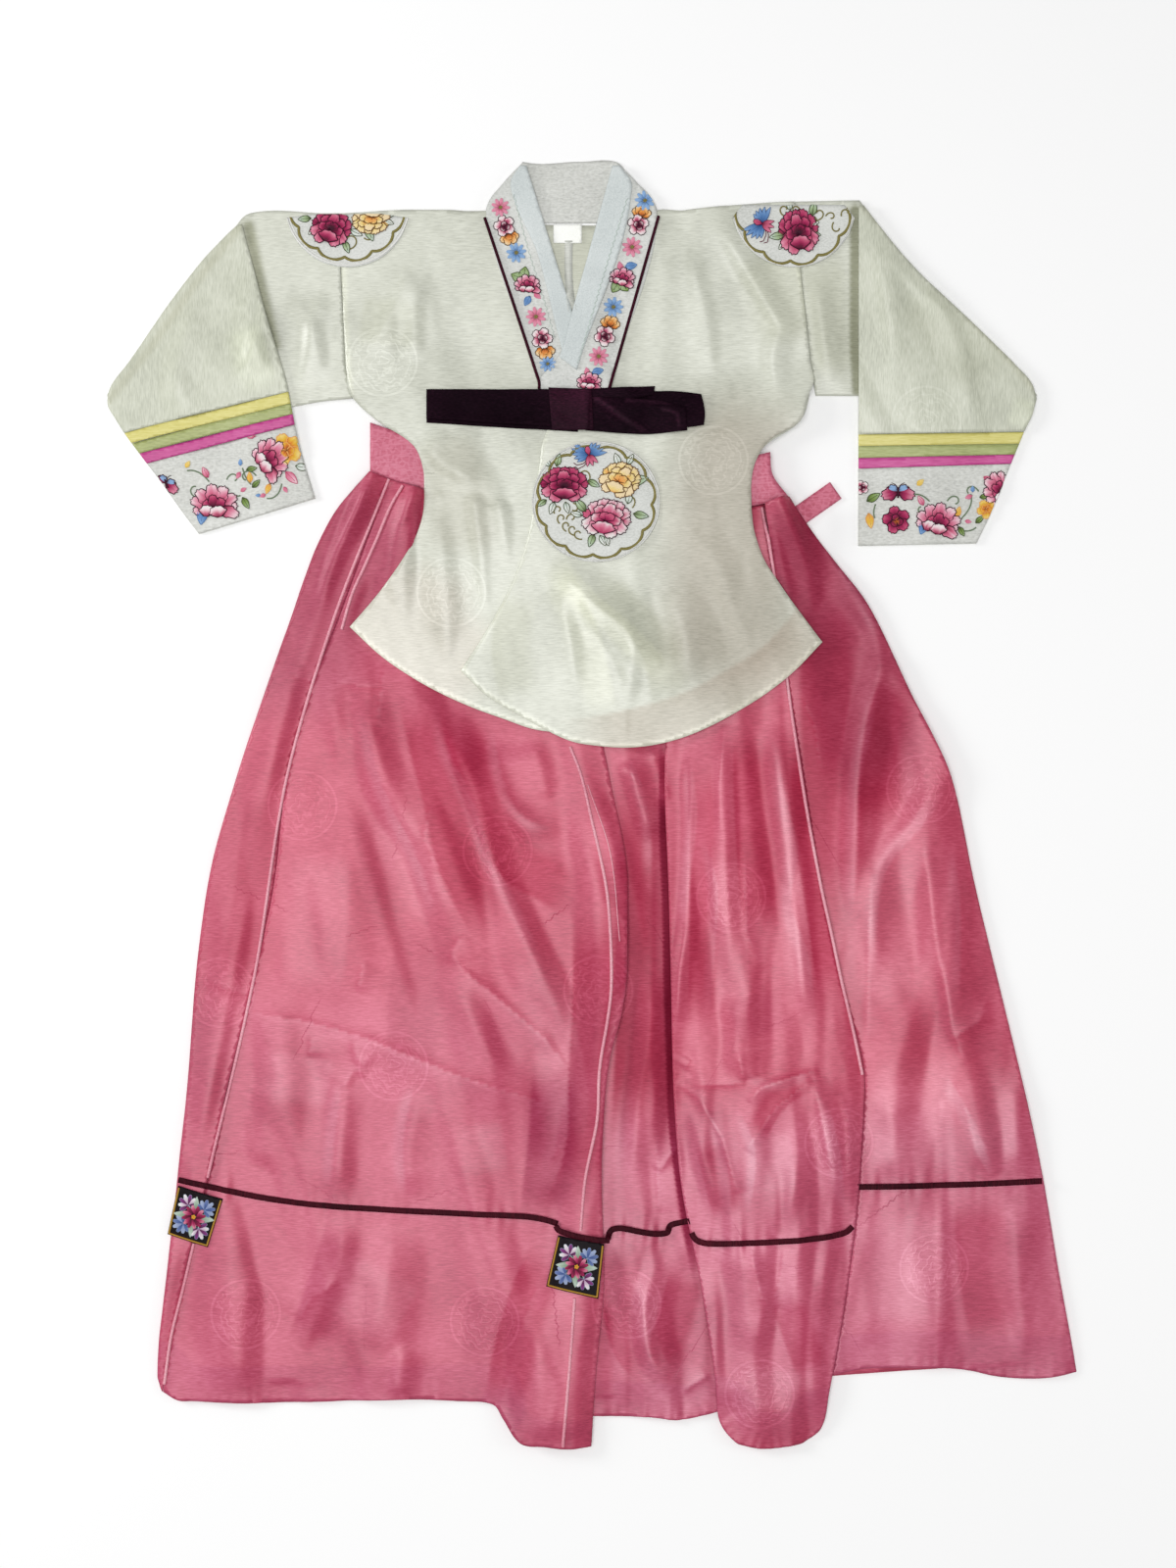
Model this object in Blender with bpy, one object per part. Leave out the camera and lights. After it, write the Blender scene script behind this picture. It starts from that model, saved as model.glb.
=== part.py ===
"""A child's Korean hanbok, a long-cut jacket and a full skirt, laid out flat as a set.

The frame: +X to the right of someone looking down at the front, +Y towards the collar, +Z up
from the floor. All tables are in millimetres. Every piece is a thin closed wall of cloth. The
pieces are laid down one after another, and each comes to rest on what already lies there.
"""

import math

import bpy
import numpy as np
from mathutils import Vector
from mathutils.bvhtree import BVHTree

# Driving sizes, in millimetres
MM = 0.001
CLOTH = 1.2  # wall of a layer of cloth, with its seams and interlining
TRIM = 1.0  # wall of the ribbons, strips and patches
REST = 0.35  # air between a layer and what it lies on
SEAM = 0.3  # air between two pieces that are sewn edge to edge
BAND_WIDTH = 42
RIBBON_WIDTH = 5
PIPING_WIDTH = 2.6
STRAP_WIDTH = 17
SLEEVE_TURN = math.radians(18.1)  # how far the folded left sleeve points off the skirt's line
SLEEVE_CORNER = (-333, 229)  # outer corner of the left cuff, where that sleeve's own frame starts

# The skirt's edges and joins, as x at each height y
SKIRT = {
    "y": (281, 266, 250, 217, 167, 100, 17, -66, -149, -232, -315, -398, -481, -547),
    "left_edge": (-188, -205, -216, -234, -252, -275, -303, -325, -336, -342, -351, -360, -368, -368),
    "left_seam": (-171, -176, -181, -193, -211, -237, -259, -269, -287, -307, -325, -345, -361, -369),
    "pleat_left": (-27, -28, -29, -29, -31, -32, -25, -12, -7, -15, -23, -39, -65, -83),
    "centre_seam": (-12, -13, -14, -16, -20, -22, -9, 11, 16, 6, -5, -14, -20, -26),
    "pleat_right": (1, 1, 1, 0, 0, 1, 16, 30, 29, 12, 8, 10, 3, -1),
    "fold_left": (81, 79, 77, 73, 68, 63, 61, 64, 66, 68, 74, 90, 103, 110),
    "right_seam": (139, 142, 145, 150, 157, 166, 179, 192, 209, 230, 226, 217, 203, 190),
    "right_edge": (150, 161, 172, 196, 234, 266, 305, 323, 343, 363, 381, 395, 410, 420),
}
# Where the skirt's cloth is gathered into its band, and each hem, as (x, y)
WAIST = ((-188, 281), (-142, 266), (-87, 256), (-12, 249), (63, 247), (134, 251), (161, 259))
HEMS = {
    "back": ((-366, -478), (-350, -494), (-150, -495), (0, -500), (200, -485), (300, -468), (408, -470)),
    "left": ((-368, -484), (-364, -496), (-349, -504), (-279, -506), (-151, -503), (-88, -507), (-24, -514)),
    "pleat": ((-78, -517), (-73, -532), (-60, -539), (-37, -542), (-12, -544), (-1, -542)),
    "centre": ((-26, -517), (46, -518), (87, -521), (102, -514), (204, -493)),
    "fold": ((105, -514), (112, -532), (127, -541), (147, -544), (175, -540), (187, -535), (195, -525)),
    "right": ((200, -483), (235, -477), (286, -476), (337, -482), (347, -486), (398, -484), (410, -480)),
}
# Middle line of each stretch of the ribbon round the hem band, as (x, y)
RIBBONS = {
    "ribbon_left": ((-350, -317), (-314, -330), (-265, -335), (-166, -344), (-59, -348), (-29, -353)),
    "ribbon_pleat": ((-29, -359), (12, -366)),
    "ribbon_centre": ((13, -359), (32, -360), (64, -363)),
    "ribbon_tuck": ((65, -353), (78, -351)),
    "ribbon_fold": ((84, -367), (107, -370), (151, -369), (188, -365), (220, -359)),
    "ribbon_right": ((231, -322), (269, -320), (320, -321), (380, -318)),
}
# Corners of the square patches, round from the upper left, as (x, y)
PATCHES = {
    "patch_left": ((-350, -322), (-312, -333), (-325, -374), (-359, -363)),
    "patch_pleat": ((-29, -363), (10, -370), (5, -416), (-39, -406)),
}
STRAP_LINE = ((150, 227), (176, 245), (206, 266))

# The jacket's edges: sides as (y, x), hems and shoulders as (x, y)
SIDE_LEFT = (
    (501, -214), (455, -213), (399, -210), (349, -206), (343, -201), (334, -198), (324, -181), (316, -166),
    (303, -151), (289, -144), (272, -142), (254, -142), (237, -145), (215, -155), (184, -176), (150, -205),
)
SIDE_RIGHT = (
    (509, 171), (452, 176), (408, 181), (362, 186), (351, 188), (344, 181), (333, 179), (323, 175),
    (316, 165), (309, 152), (296, 141), (276, 134), (248, 134), (215, 141), (182, 161), (137, 194),
)
ARMHOLE_RIGHT = ((511, 171), (452, 176), (408, 181), (362, 186), (345, 189))
SHOULDER_LEFT = ((-289, 500), (-220, 500), (-153, 503), (-119, 503), (-91, 500))
SHOULDER_RIGHT = ((58, 499), (71, 502), (171, 510), (225, 511))
NECK_SEAM = ((-215, 500), (-153, 503), (-93, 500), (-88, 492), (52, 492), (58, 499), (71, 502), (171, 510))
FRONT_EDGE = (
    (502, 58), (496, 57), (350, 15.5), (333, -20), (314, -40), (292, -44), (248, -50), (228, -54), (193, -65),
    (154, -85), (113, -111),
)
UNDER_EDGE = ((503, -93), (495, -91), (350, -46), (314, -4), (250, 15), (183, 24), (100, 29), (63, 29))
HEM_OVER = (
    (-111, 113), (-88, 91), (-46, 67), (-27, 56), (0, 50), (28, 48), (56, 51), (83, 59), (125, 80),
    (163, 106), (194, 137),
)
HEM_UNDER = ((-205, 150), (-178, 125), (-145, 103), (-109, 85), (-82, 75), (-46, 63), (-4, 60), (29, 60))
HEM_BACK = (
    (-205, 150), (-145, 107), (-82, 80), (-4, 62), (28, 53), (83, 64), (125, 85), (163, 111), (194, 137),
)

# The sleeves. Each is folded down along a slanted fold. The left one's tables are in its own
# turned frame, with y falling towards the cuff
FOLD_LINE_LEFT = ((501, -289), (420, -360), (383, -386), (341, -410))
FOLD_LINE_RIGHT = ((511, 226), (457, 269), (395, 334), (358, 369), (345, 377))
UPPER_HEM_LEFT = ((-410, 340), (-254, 336), (-236, 341), (-216, 341), (-201, 344))
UPPER_HEM_RIGHT = ((180, 346), (376, 346))
SLEEVES = {
    "left": {
        "outer": (
            (244, 126), (225, 87), (190, 34), (162, -2), (130, -39), (122, -38), (107, -35), (78, -26),
            (49, -16), (20, -7), (0, 0),
        ),
        "inner": (
            (244, 128), (236, 116), (212, 115), (157, 112), (104, 111), (76, 108), (40, 104), (0, 103),
        ),
        "top": ((-40, 237), (128, 237)),
        "joins": (
            ((-29, 100), (109, 90)), ((-25, 90), (108, 80)), ((-24, 80), (107, 71)), ((-21, 70), (106, 62)),
        ),
        "end": ((0, 0), (103, -2)),
    },
    "right": {
        "outer": (
            (510, 226), (457, 269), (395, 334), (358, 369), (346, 376), (320, 367), (283, 352), (246, 337),
            (221, 325),
        ),
        "inner": ((511, 225), (219, 225)),
        "top": ((220, 506), (380, 506)),
        "joins": (
            ((225, 313), (363, 315)), ((225, 303), (359, 305)), ((225, 293), (356, 296)),
            ((225, 284), (353, 288)),
        ),
        "end": ((225, 219), (325, 221)),
    },
}
STRIPES = ("yellow", "green", "magenta")

# The collar: edges as (y, x), from the top of the neck to under the bow
COLLAR_TOP = ((-59, 544), (-45, 542), (-12, 544), (20, 544))
COLLAR_LEFT = ((544, -59), (500, -90.5), (495, -90), (350, -44.5), (340, -43))
COLLAR_RIGHT = ((544, 20), (500, 55), (350, 14), (340, 12))
NECK_LEFT = ((544, -57), (417, -17), (373, -2))
NECK_RIGHT = ((544, 18), (417, -17), (378, -28), (360, -45), (340, -43))
STRIP_LEFT_OUTER = ((544, -58.8), (526, -69), (464, -46), (397, -29), (373, -23))
STRIP_RIGHT_OUTER = ((544, 19.8), (526, 33), (367, -13))
STRIP_RIGHT_END = ((-28, 378), (-13, 367))
PIPING = {
    "piping_left": ((-90.5, 496), (-45, 351)),
    "piping_right": ((55.5, 496), (14.5, 351)),
}
LABEL = ((-33, 491), (-9, 491), (-9, 475), (-33, 475))
NECK_FOOT = 492  # y of the seam between the back collar and the jacket's back
COLLAR_HEAD = 540  # y at which the bands and strips start at the top of the neck
COLLAR_FEET = {"left": 352, "right": 344, "strip_left": 374}

# The round patches. The shoulder folds cut two of them off at y = cut, pole is a point inside, and
# grid is how many rings and spokes a patch has
MEDALLIONS = (
    {"place": "chest", "centre": (3, 255), "radii": (54, 51), "cut": None, "pole": (3, 255), "grid": (3, 28)},
    {"place": "left", "centre": (-207, 507), "radii": (53, 53), "cut": 499, "pole": (-207, 482), "grid": (2, 24)},
    {"place": "right", "centre": (170, 507), "radii": (53, 53), "cut": 507, "pole": (170, 482), "grid": (2, 24)},
)

# The bow. Its flattened parts run from the knot: upper and lower edges as (x, y), the end as (y, x)
LOOP = {"end": -140, "inside": -12, "top": 350, "bottom_at_end": 325, "bottom_inside": 317, "drop": 3}
TAILS = {
    "bow_tail_under": {
        "upper": ((-6, 349), (65, 349), (94, 346)),
        "lower": ((-6, 318), (80, 318), (95, 320)),
        "end": ((346, 92), (330, 95), (320, 94)),
    },
    "bow_loop_right": {
        "upper": ((-6, 350), (53, 353)),
        "lower": ((-6, 332), (53, 346)),
        "end": ((353, 53), (346, 52)),
    },
    "bow_tail_over": {
        "upper": ((-6, 343), (50, 341), (80, 334)),
        "lower": ((-6, 315), (42, 312), (80, 315)),
        "end": ((334, 79), (315, 80)),
    },
}
KNOT = ((-37, 351), (-1, 349.5), (1, 315), (-34, 315))
KNOT_ARCH = 1.5

# Largest folds of each piece: a soft ridge from (x0, y0) to (x1, y1), its height and half width
FOLDS = {
    "skirt_left": (
        (-232, 90, -176, 8, 4.5, 26),
        (-143, 90, -93, 8, 5.0, 30),
        (-93, 8, -16, -84, 6.0, 30),
        (-250, 60, -262, -250, 3.0, 26),
        (-210, -40, -190, -300, 3.0, 34),
        (-120, -60, -95, -330, 3.5, 36),
        (-285, -180, -60, -255, 2.5, 22),
        (-300, -360, -310, -500, 3.0, 26),
        (-180, -380, -170, -500, 3.0, 34),
        (-75, -330, -60, -500, 2.5, 26),
    ),
    "skirt_left_side": ((-262, 120, -300, -60, 2.5, 20), (-315, -150, -338, -440, 2.5, 18)),
    "skirt_centre": (
        (30, 60, 44, -120, 4.5, 18),
        (50, -90, 40, -300, 4.0, 18),
        (36, -330, 60, -510, 4.0, 22),
    ),
    "skirt_right_side": (
        (196, 206, 230, 160, 4.0, 20),
        (246, 130, 222, 20, 4.5, 24),
        (222, 20, 228, -190, 3.0, 20),
        (290, 60, 318, -300, 3.5, 30),
        (255, -150, 270, -470, 3.0, 26),
        (345, -180, 372, -470, 3.0, 26),
    ),
    "skirt_fold": (
        (92, 40, 96, -240, 3.5, 16),
        (124, 50, 130, -180, 4.0, 18),
        (160, 40, 170, -150, 3.5, 16),
        (188, -226, 140, -240, 3.0, 16),
        (140, -240, 150, -380, 3.5, 22),
        (190, -280, 176, -460, 3.0, 22),
        (118, -330, 140, -520, 3.0, 22),
    ),
    "skirt_pleat": ((2, -20, 12, -150, 3.5, 14), (12, -150, -14, -520, 4.5, 20)),
    "jacket_front_left": (
        (-155, 448, -190, 386, 2.5, 18),
        (-150, 443, -150, 375, 2.0, 16),
        (-128, 316, -98, 272, 3.0, 18),
        (-140, 200, -110, 120, 2.0, 20),
    ),
    "jacket_front_right": (
        (105, 494, 148, 423, 2.5, 18),
        (148, 423, 156, 350, 2.5, 18),
        (-26, 196, 56, 110, 3.0, 16),
        (61, 198, 83, 152, 2.5, 18),
        (83, 152, 76, 108, 2.5, 16),
    ),
    "sleeve_left_lower": ((-262, 440, -300, 360, 2.5, 20), (-350, 380, -330, 300, 2.0, 20)),
    "sleeve_right_lower": ((250, 440, 280, 350, 2.5, 20), (330, 350, 320, 310, 2.0, 18)),
}
# Panels of the skirt's front from the floor up: their sides, hem, columns and how far they arch.
# The left one's first seven columns share its outer 28 percent, where its gathers show
LEFT_COLUMNS = (15, 7, 0.28)
GORES = (
    {"name": "skirt_left_side", "sides": ("left_edge", "left_seam"), "hem": "left", "columns": (4,), "arch": 0},
    {"name": "skirt_left", "sides": ("left_seam", "centre_seam"), "hem": "left", "columns": LEFT_COLUMNS, "arch": 0},
    {"name": "skirt_centre", "sides": ("centre_seam", "right_seam"), "hem": "centre", "columns": (9,), "arch": 0},
    {"name": "skirt_right_side", "sides": ("right_seam", "right_edge"), "hem": "right", "columns": (9,), "arch": 0},
    {"name": "skirt_pleat", "sides": ("pleat_left", "pleat_right"), "hem": "pleat", "columns": (4,), "arch": 4},
    {"name": "skirt_fold", "sides": ("fold_left", "right_seam"), "hem": "fold", "columns": (7,), "arch": 4},
)
# Gathers at the waist: in each panel, how many show, from and to which share of its width
GATHERS = (
    {"panel": "skirt_left_side", "count": 2, "first": 0.1, "last": 0.9, "height": 3.0, "length": 190},
    {"panel": "skirt_left", "count": 4, "first": 0.03, "last": 0.27, "height": 3.0, "length": 170},
    {"panel": "skirt_right_side", "count": 4, "first": 0.06, "last": 0.9, "height": 3.0, "length": 120},
)
GATHER_HALF_WIDTH = 6.5
CORE_SHARE = 0.15  # radius of a round patch's innermost ring, as a share of its edge's
REACH_STEP = 0.25
SAMPLE_STEP = 3  # how finely a piece feels for what lies under it
SKIRT_ROWS = 26
RIBBON_STEP = 12
ARCH_GROWTH = (0.3, 3.0)  # share of a piece's arch at its upper end, and how soon it is whole
RAY_HEIGHT = 1.0
FOLD_FADE = 0.15  # how far a fold fades out past each end and in from it, as a share of its length

# Cloth colours, as the base colour, roughness and metallic value of each material
FINISHES = {
    "skirt_cloth": ((0.62, 0.095, 0.19), 0.42, 0.0),
    "band_cloth": ((0.66, 0.11, 0.23), 0.5, 0.0),
    "jacket_cloth": ((0.72, 0.74, 0.62), 0.45, 0.0),
    "collar_cloth": ((0.76, 0.79, 0.77), 0.5, 0.0),
    "collar_strip": ((0.72, 0.77, 0.8), 0.6, 0.0),
    "bow_cloth": ((0.03, 0.008, 0.02), 0.5, 0.0),
    "ribbon_cloth": ((0.06, 0.006, 0.02), 0.6, 0.0),
    "stripe_yellow": ((0.76, 0.7, 0.25), 0.5, 0.0),
    "stripe_green": ((0.36, 0.44, 0.15), 0.5, 0.0),
    "stripe_magenta": ((0.55, 0.05, 0.34), 0.5, 0.0),
    "patch_cloth": ((0.012, 0.01, 0.015), 0.7, 0.0),
    "label_cloth": ((0.85, 0.85, 0.78), 0.6, 0.0),
}


def smooth(points):
    """A smooth function through (position, value) points that never overshoots them."""
    at, value = (np.array(column, float) for column in zip(*sorted(points)))
    run = np.diff(at)
    slope = np.diff(value) / run
    tangent = np.concatenate(([slope[0]], np.zeros(len(at) - 2), [slope[-1]]))
    for i in range(1, len(at) - 1):
        if slope[i - 1] * slope[i] > 0:
            tangent[i] = 2 * slope[i - 1] * slope[i] / (slope[i - 1] + slope[i])

    def curve(position):
        position = min(max(position, at[0]), at[-1])
        i = min(int(np.searchsorted(at, position, side="right")) - 1, len(run) - 1)
        t = (position - at[i]) / run[i]
        start = value[i] * (1 + 2 * t) + tangent[i] * run[i] * t
        end = value[i + 1] * (3 - 2 * t) - tangent[i + 1] * run[i] * (1 - t)
        return start * (1 - t) ** 2 + end * t**2

    return curve


def skirt_line(name):
    return smooth(tuple(zip(SKIRT["y"], SKIRT[name])))


def shares(count, crowded=0, crowded_share=0.0):
    """Steps from 0 to 1, the first few of them crowded into a small share."""
    start = np.linspace(0, crowded_share, crowded + 1)[:-1]
    return tuple(start) + tuple(np.linspace(crowded_share, 1, count - crowded + 1))


def panel(left, right, top, bottom, across, down, turn=0.0, corner=(0, 0)):
    """Rows of plan points between two sides, x at a height, and two ends, y at a width."""
    rows = []
    for v in down:
        row = []
        for u in across:
            high = low = 0.0
            for _ in range(12):
                high = top(left(high) * (1 - u) + right(high) * u)
                low = bottom(left(low) * (1 - u) + right(low) * u)
            y = high + (low - high) * v
            gap = SEAM / 2 * (1 - 2 * u)
            x = left(y) * (1 - u) + right(y) * u + gap
            row.append((
                corner[0] + x * math.cos(turn) - y * math.sin(turn),
                corner[1] + x * math.sin(turn) + y * math.cos(turn),
            ))
        rows.append(row)
    return np.array(rows)


def four_sided(corners, across, down):
    """Rows of plan points inside four corners, given round from the upper left."""
    a, b, c, d = (np.array(corner, float) for corner in corners)
    rows = []
    for v in np.linspace(0, 1, down + 1):
        left, right = a * (1 - v) + d * v, b * (1 - v) + c * v
        rows.append([left * (1 - u) + right * u for u in np.linspace(0, 1, across + 1)])
    return np.array(rows)


def strip(line, width, steps, across=1):
    """Rows of plan points across a strip that follows a line of (x, y) points."""
    line = np.array(line, float)
    along = np.concatenate(([0], np.cumsum(np.linalg.norm(np.diff(line, axis=0), axis=1))))
    course = [smooth(tuple(zip(along, line[:, axis]))) for axis in (0, 1)]
    centres = np.array([[f(s) for f in course] for s in np.linspace(0, along[-1], steps + 1)])
    heading = np.gradient(centres, axis=0)
    side = np.stack((-heading[:, 1], heading[:, 0]), axis=1)
    side /= np.linalg.norm(side, axis=1)[:, None]
    offsets = np.linspace(width / 2, -width / 2, across + 1)
    return np.array([centres + side * offset for offset in offsets])


def disc(centre, size, rings, spokes, cut, pole):
    """Rings of plan points on a round patch, cut off along a line y = cut where it has one."""
    rows = []
    for share in np.linspace(CORE_SHARE, 1, rings + 1):
        row = []
        for spoke in range(spokes):
            angle = 2 * math.pi * spoke / spokes
            reach = 0.0
            while inside(pole, angle, reach + REACH_STEP, centre, size, cut):
                reach += REACH_STEP
            row.append((
                pole[0] + reach * share * math.cos(angle),
                pole[1] + reach * share * math.sin(angle),
            ))
        rows.append(row)
    return np.array(rows)


def inside(pole, angle, reach, centre, size, cut):
    x = pole[0] + reach * math.cos(angle)
    y = pole[1] + reach * math.sin(angle)
    round_edge = ((x - centre[0]) / size[0]) ** 2 + ((y - centre[1]) / size[1]) ** 2
    return round_edge < 1 and (cut is None or y < cut)


laid = []  # upper faces of each piece that is already down


def height_under(x, y):
    """Height in mm of the highest cloth under a point, or the floor's."""
    highest = 0.0
    for tree in laid:
        hit = tree.ray_cast(Vector((x * MM, y * MM, RAY_HEIGHT)), Vector((0, 0, -1)))
        if hit[0] is not None:
            highest = max(highest, hit[0].z / MM + REST)
    return highest


def settle(plan, ring=False):
    """Height of each plan point at rest: never under what lies below any cell that it belongs to."""
    rows, columns = plan.shape[:2]
    rest = np.zeros((rows, columns))
    for i in range(rows - 1):
        for j in range(columns if ring else columns - 1):
            k = (j + 1) % columns
            cell = ((i, j), (i, k), (i + 1, k), (i + 1, j))
            highest = height_under_cell(*(plan[at] for at in cell))
            for at in cell:
                rest[at] = max(rest[at], highest)
    return rest


def height_under_cell(a, b, c, d):
    """Height of the highest cloth under a four-cornered cell."""
    across = max(np.linalg.norm(a - b), np.linalg.norm(d - c))
    down = max(np.linalg.norm(a - d), np.linalg.norm(b - c))
    highest = 0.0
    for u in np.linspace(0, 1, 2 + int(across / SAMPLE_STEP)):
        for v in np.linspace(0, 1, 2 + int(down / SAMPLE_STEP)):
            point = (a * (1 - u) + b * u) * (1 - v) + (d * (1 - u) + c * u) * v
            highest = max(highest, height_under(*point))
    return highest


def fold_height(name, x, y):
    """Height of a piece's own folds at a point: soft ridges that fade at both ends."""
    height = 0.0
    for x0, y0, x1, y1, rise, half_width in FOLDS.get(name, ()):
        length = math.hypot(x1 - x0, y1 - y0)
        along = ((x - x0) * (x1 - x0) + (y - y0) * (y1 - y0)) / length**2
        aside = abs((x - x0) * (y1 - y0) - (y - y0) * (x1 - x0)) / length
        if aside < half_width and -FOLD_FADE < along < 1 + FOLD_FADE:
            fade = min(1.0, (along + FOLD_FADE) / (2 * FOLD_FADE), (1 + FOLD_FADE - along) / (2 * FOLD_FADE))
            profile = math.cos(aside / half_width * math.pi / 2) ** 2
            height = max(height, rise * math.sin(fade * math.pi / 2) * profile)
    return height


def gather_heights(name, plan):
    """Ridges that run down from the waist along the cloth, one for each gather."""
    heights = np.zeros(plan.shape[:2])
    for row in GATHERS:
        if row["panel"] != name:
            continue
        width = np.linalg.norm(np.diff(plan, axis=1), axis=2)
        place = np.concatenate((np.zeros((len(plan), 1)), np.cumsum(width, axis=1)), axis=1)
        for share in np.linspace(row["first"], row["last"], row["count"]):
            for i in range(len(plan)):
                fallen = plan[0, 0, 1] - plan[i, 0, 1]
                fade = max(0.0, 1 - fallen / row["length"])
                aside = np.abs(place[i] - share * place[i, -1])
                spread = GATHER_HALF_WIDTH * (1 + fallen / row["length"])
                ridge = np.cos(np.minimum(aside / spread, 1) * math.pi / 2) ** 2
                heights[i] = np.maximum(heights[i], row["height"] * fade * ridge)
    return heights


def material(slot):
    colour, roughness, metallic = FINISHES[slot]
    made = bpy.data.materials.get(slot) or bpy.data.materials.new(slot)
    made.use_nodes = True
    shader = made.node_tree.nodes["Principled BSDF"]
    shader.inputs["Base Color"].default_value = (*colour, 1)
    shader.inputs["Roughness"].default_value = roughness
    shader.inputs["Metallic"].default_value = metallic
    return made


def add_object(name, points, faces, slot):
    mesh = bpy.data.meshes.new(name)
    mesh.from_pydata([tuple(c * MM for c in point) for point in points], [], faces)
    mesh.materials.append(material(slot))
    mesh.shade_smooth()
    mesh.set_sharp_from_angle(angle=math.radians(35))
    bpy.context.scene.collection.objects.link(bpy.data.objects.new(name, mesh))


def cloth(name, slot, plan, wall=CLOTH, arch=0.0, ring=False):
    """One piece of cloth: its plan, laid on what is there, with its folds, as a closed wall."""
    rows, columns = plan.shape[:2]
    own = np.array([[fold_height(name, *point) for point in row] for row in plan])
    own = np.maximum(own, gather_heights(name, plan))
    if arch:
        across = 1 - np.linspace(-1, 1, columns) ** 2
        down = np.minimum(1, np.linspace(*ARCH_GROWTH, rows))
        own = own + arch * np.outer(down, across)
    low = settle(plan, ring) + own
    under = [(*plan[i, j], low[i, j]) for i in range(rows) for j in range(columns)]
    upper_faces = []
    for i in range(rows - 1):
        for j in range(columns if ring else columns - 1):
            a, b = i * columns + j, i * columns + (j + 1) % columns
            upper_faces += [(a, a + columns, b + columns), (a, b + columns, b)]
    if ring:
        middle = len(under)
        under.append((*plan[0].mean(axis=0), low[0].max()))
        upper_faces += [(middle, j, (j + 1) % columns) for j in range(columns)]
    over = [(x, y, z + wall) for x, y, z in under]
    count = len(under)
    faces = [tuple(count + p for p in face) for face in upper_faces]
    faces += [tuple(reversed(face)) for face in upper_faces]
    add_object(name, under + over, faces + wall_faces(upper_faces, count), slot)
    over_points = [Vector(c * MM for c in point) for point in over]
    laid.append(BVHTree.FromPolygons(over_points, upper_faces))


def wall_faces(upper, count):
    """The narrow faces round the rim, one on each edge that only one upper face has."""
    edges = {(a, b) for face in upper for a, b in zip(face, face[1:] + face[:1])}
    return [(a, b, count + b, count + a) for a, b in edges if (b, a) not in edges]


def skirt():
    """Back, tie strap, four gores, the two folds that lie over them, and the waistband."""
    left, right = skirt_line("left_edge"), skirt_line("right_edge")
    waist = smooth(WAIST)
    cloth("skirt_back", "skirt_cloth", panel(left, right, waist, smooth(HEMS["back"]), shares(4), shares(18)))
    cloth("tie_strap", "band_cloth", strip(STRAP_LINE, STRAP_WIDTH, 8, across=2))
    for gore in GORES:
        sides = [skirt_line(side) for side in gore["sides"]]
        plan = panel(*sides, waist, smooth(HEMS[gore["hem"]]), shares(*gore["columns"]), shares(SKIRT_ROWS))
        cloth(gore["name"], "skirt_cloth", plan, arch=gore["arch"])
    for name in ("waistband_back", "waistband_front"):
        top, foot = (lambda x: waist(x) + BAND_WIDTH), lifted(waist)
        cloth(name, "band_cloth", panel(left, right, top, foot, shares(16), shares(2)))


def skirt_trims():
    """The dark ribbon round the hem band, in the stretches that show, and the two square patches."""
    for name, line in RIBBONS.items():
        length = sum(math.dist(a, b) for a, b in zip(line, line[1:]))
        cloth(name, "ribbon_cloth", strip(line, RIBBON_WIDTH, max(2, round(length / RIBBON_STEP))), TRIM)
    for name, corners in PATCHES.items():
        cloth(name, "patch_cloth", four_sided(corners, 4, 4), TRIM)


def sleeve(side):
    """Upper sleeve of two layers on the floor, and over it the folded-down lower sleeve."""
    left = side == "left"
    if left:
        edges = smooth(FOLD_LINE_LEFT), smooth(SIDE_LEFT), smooth(SHOULDER_LEFT), smooth(UPPER_HEM_LEFT)
    else:
        edges = smooth(ARMHOLE_RIGHT), smooth(FOLD_LINE_RIGHT), smooth(SHOULDER_RIGHT), smooth(UPPER_HEM_RIGHT)
    for layer in ("back", "front"):
        cloth(f"sleeve_{side}_upper_{layer}", "jacket_cloth", panel(*edges, shares(7), shares(8)))
    table = SLEEVES[side]
    outer, inner = smooth(table["outer"]), smooth(table["inner"])
    sides = (outer, inner) if left else (inner, outer)
    turned = {"turn": SLEEVE_TURN, "corner": SLEEVE_CORNER} if left else {}
    top, end = smooth(table["top"]), smooth(table["end"])
    joins = [smooth(line) for line in table["joins"]]
    under = panel(*sides, top, end, shares(6), shares(14), **turned)
    cloth(f"sleeve_{side}_lower_under", "jacket_cloth", under)
    lower = panel(*sides, top, lifted(joins[0]), shares(7), shares(10), **turned)
    cloth(f"sleeve_{side}_lower", "jacket_cloth", lower)
    for colour, above, below in zip(STRIPES, joins, joins[1:]):
        stripe = panel(*sides, above, lifted(below), shares(7), shares(1), **turned)
        cloth(f"stripe_{side}_{colour}", f"stripe_{colour}", stripe)
    cuff = panel(*sides, joins[-1], end, shares(7), shares(4), **turned)
    cloth(f"cuff_{side}", "collar_cloth", cuff)


def lifted(line):
    """The same line, a seam's gap higher."""
    return lambda x: line(x) + SEAM


def jacket_body():
    """Back, then the left front, then the right front that laps over it."""
    left, right = smooth(SIDE_LEFT), smooth(SIDE_RIGHT)
    shoulders = smooth(SHOULDER_LEFT), smooth(SHOULDER_RIGHT)
    back = panel(left, right, smooth(NECK_SEAM), smooth(HEM_BACK), shares(16), shares(16))
    cloth("jacket_back", "jacket_cloth", back)
    under = panel(left, smooth(UNDER_EDGE), shoulders[0], smooth(HEM_UNDER), shares(9), shares(18))
    cloth("jacket_front_left", "jacket_cloth", under)
    over = panel(smooth(FRONT_EDGE), right, shoulders[1], smooth(HEM_OVER), shares(13), shares(22))
    cloth("jacket_front_right", "jacket_cloth", over)


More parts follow.
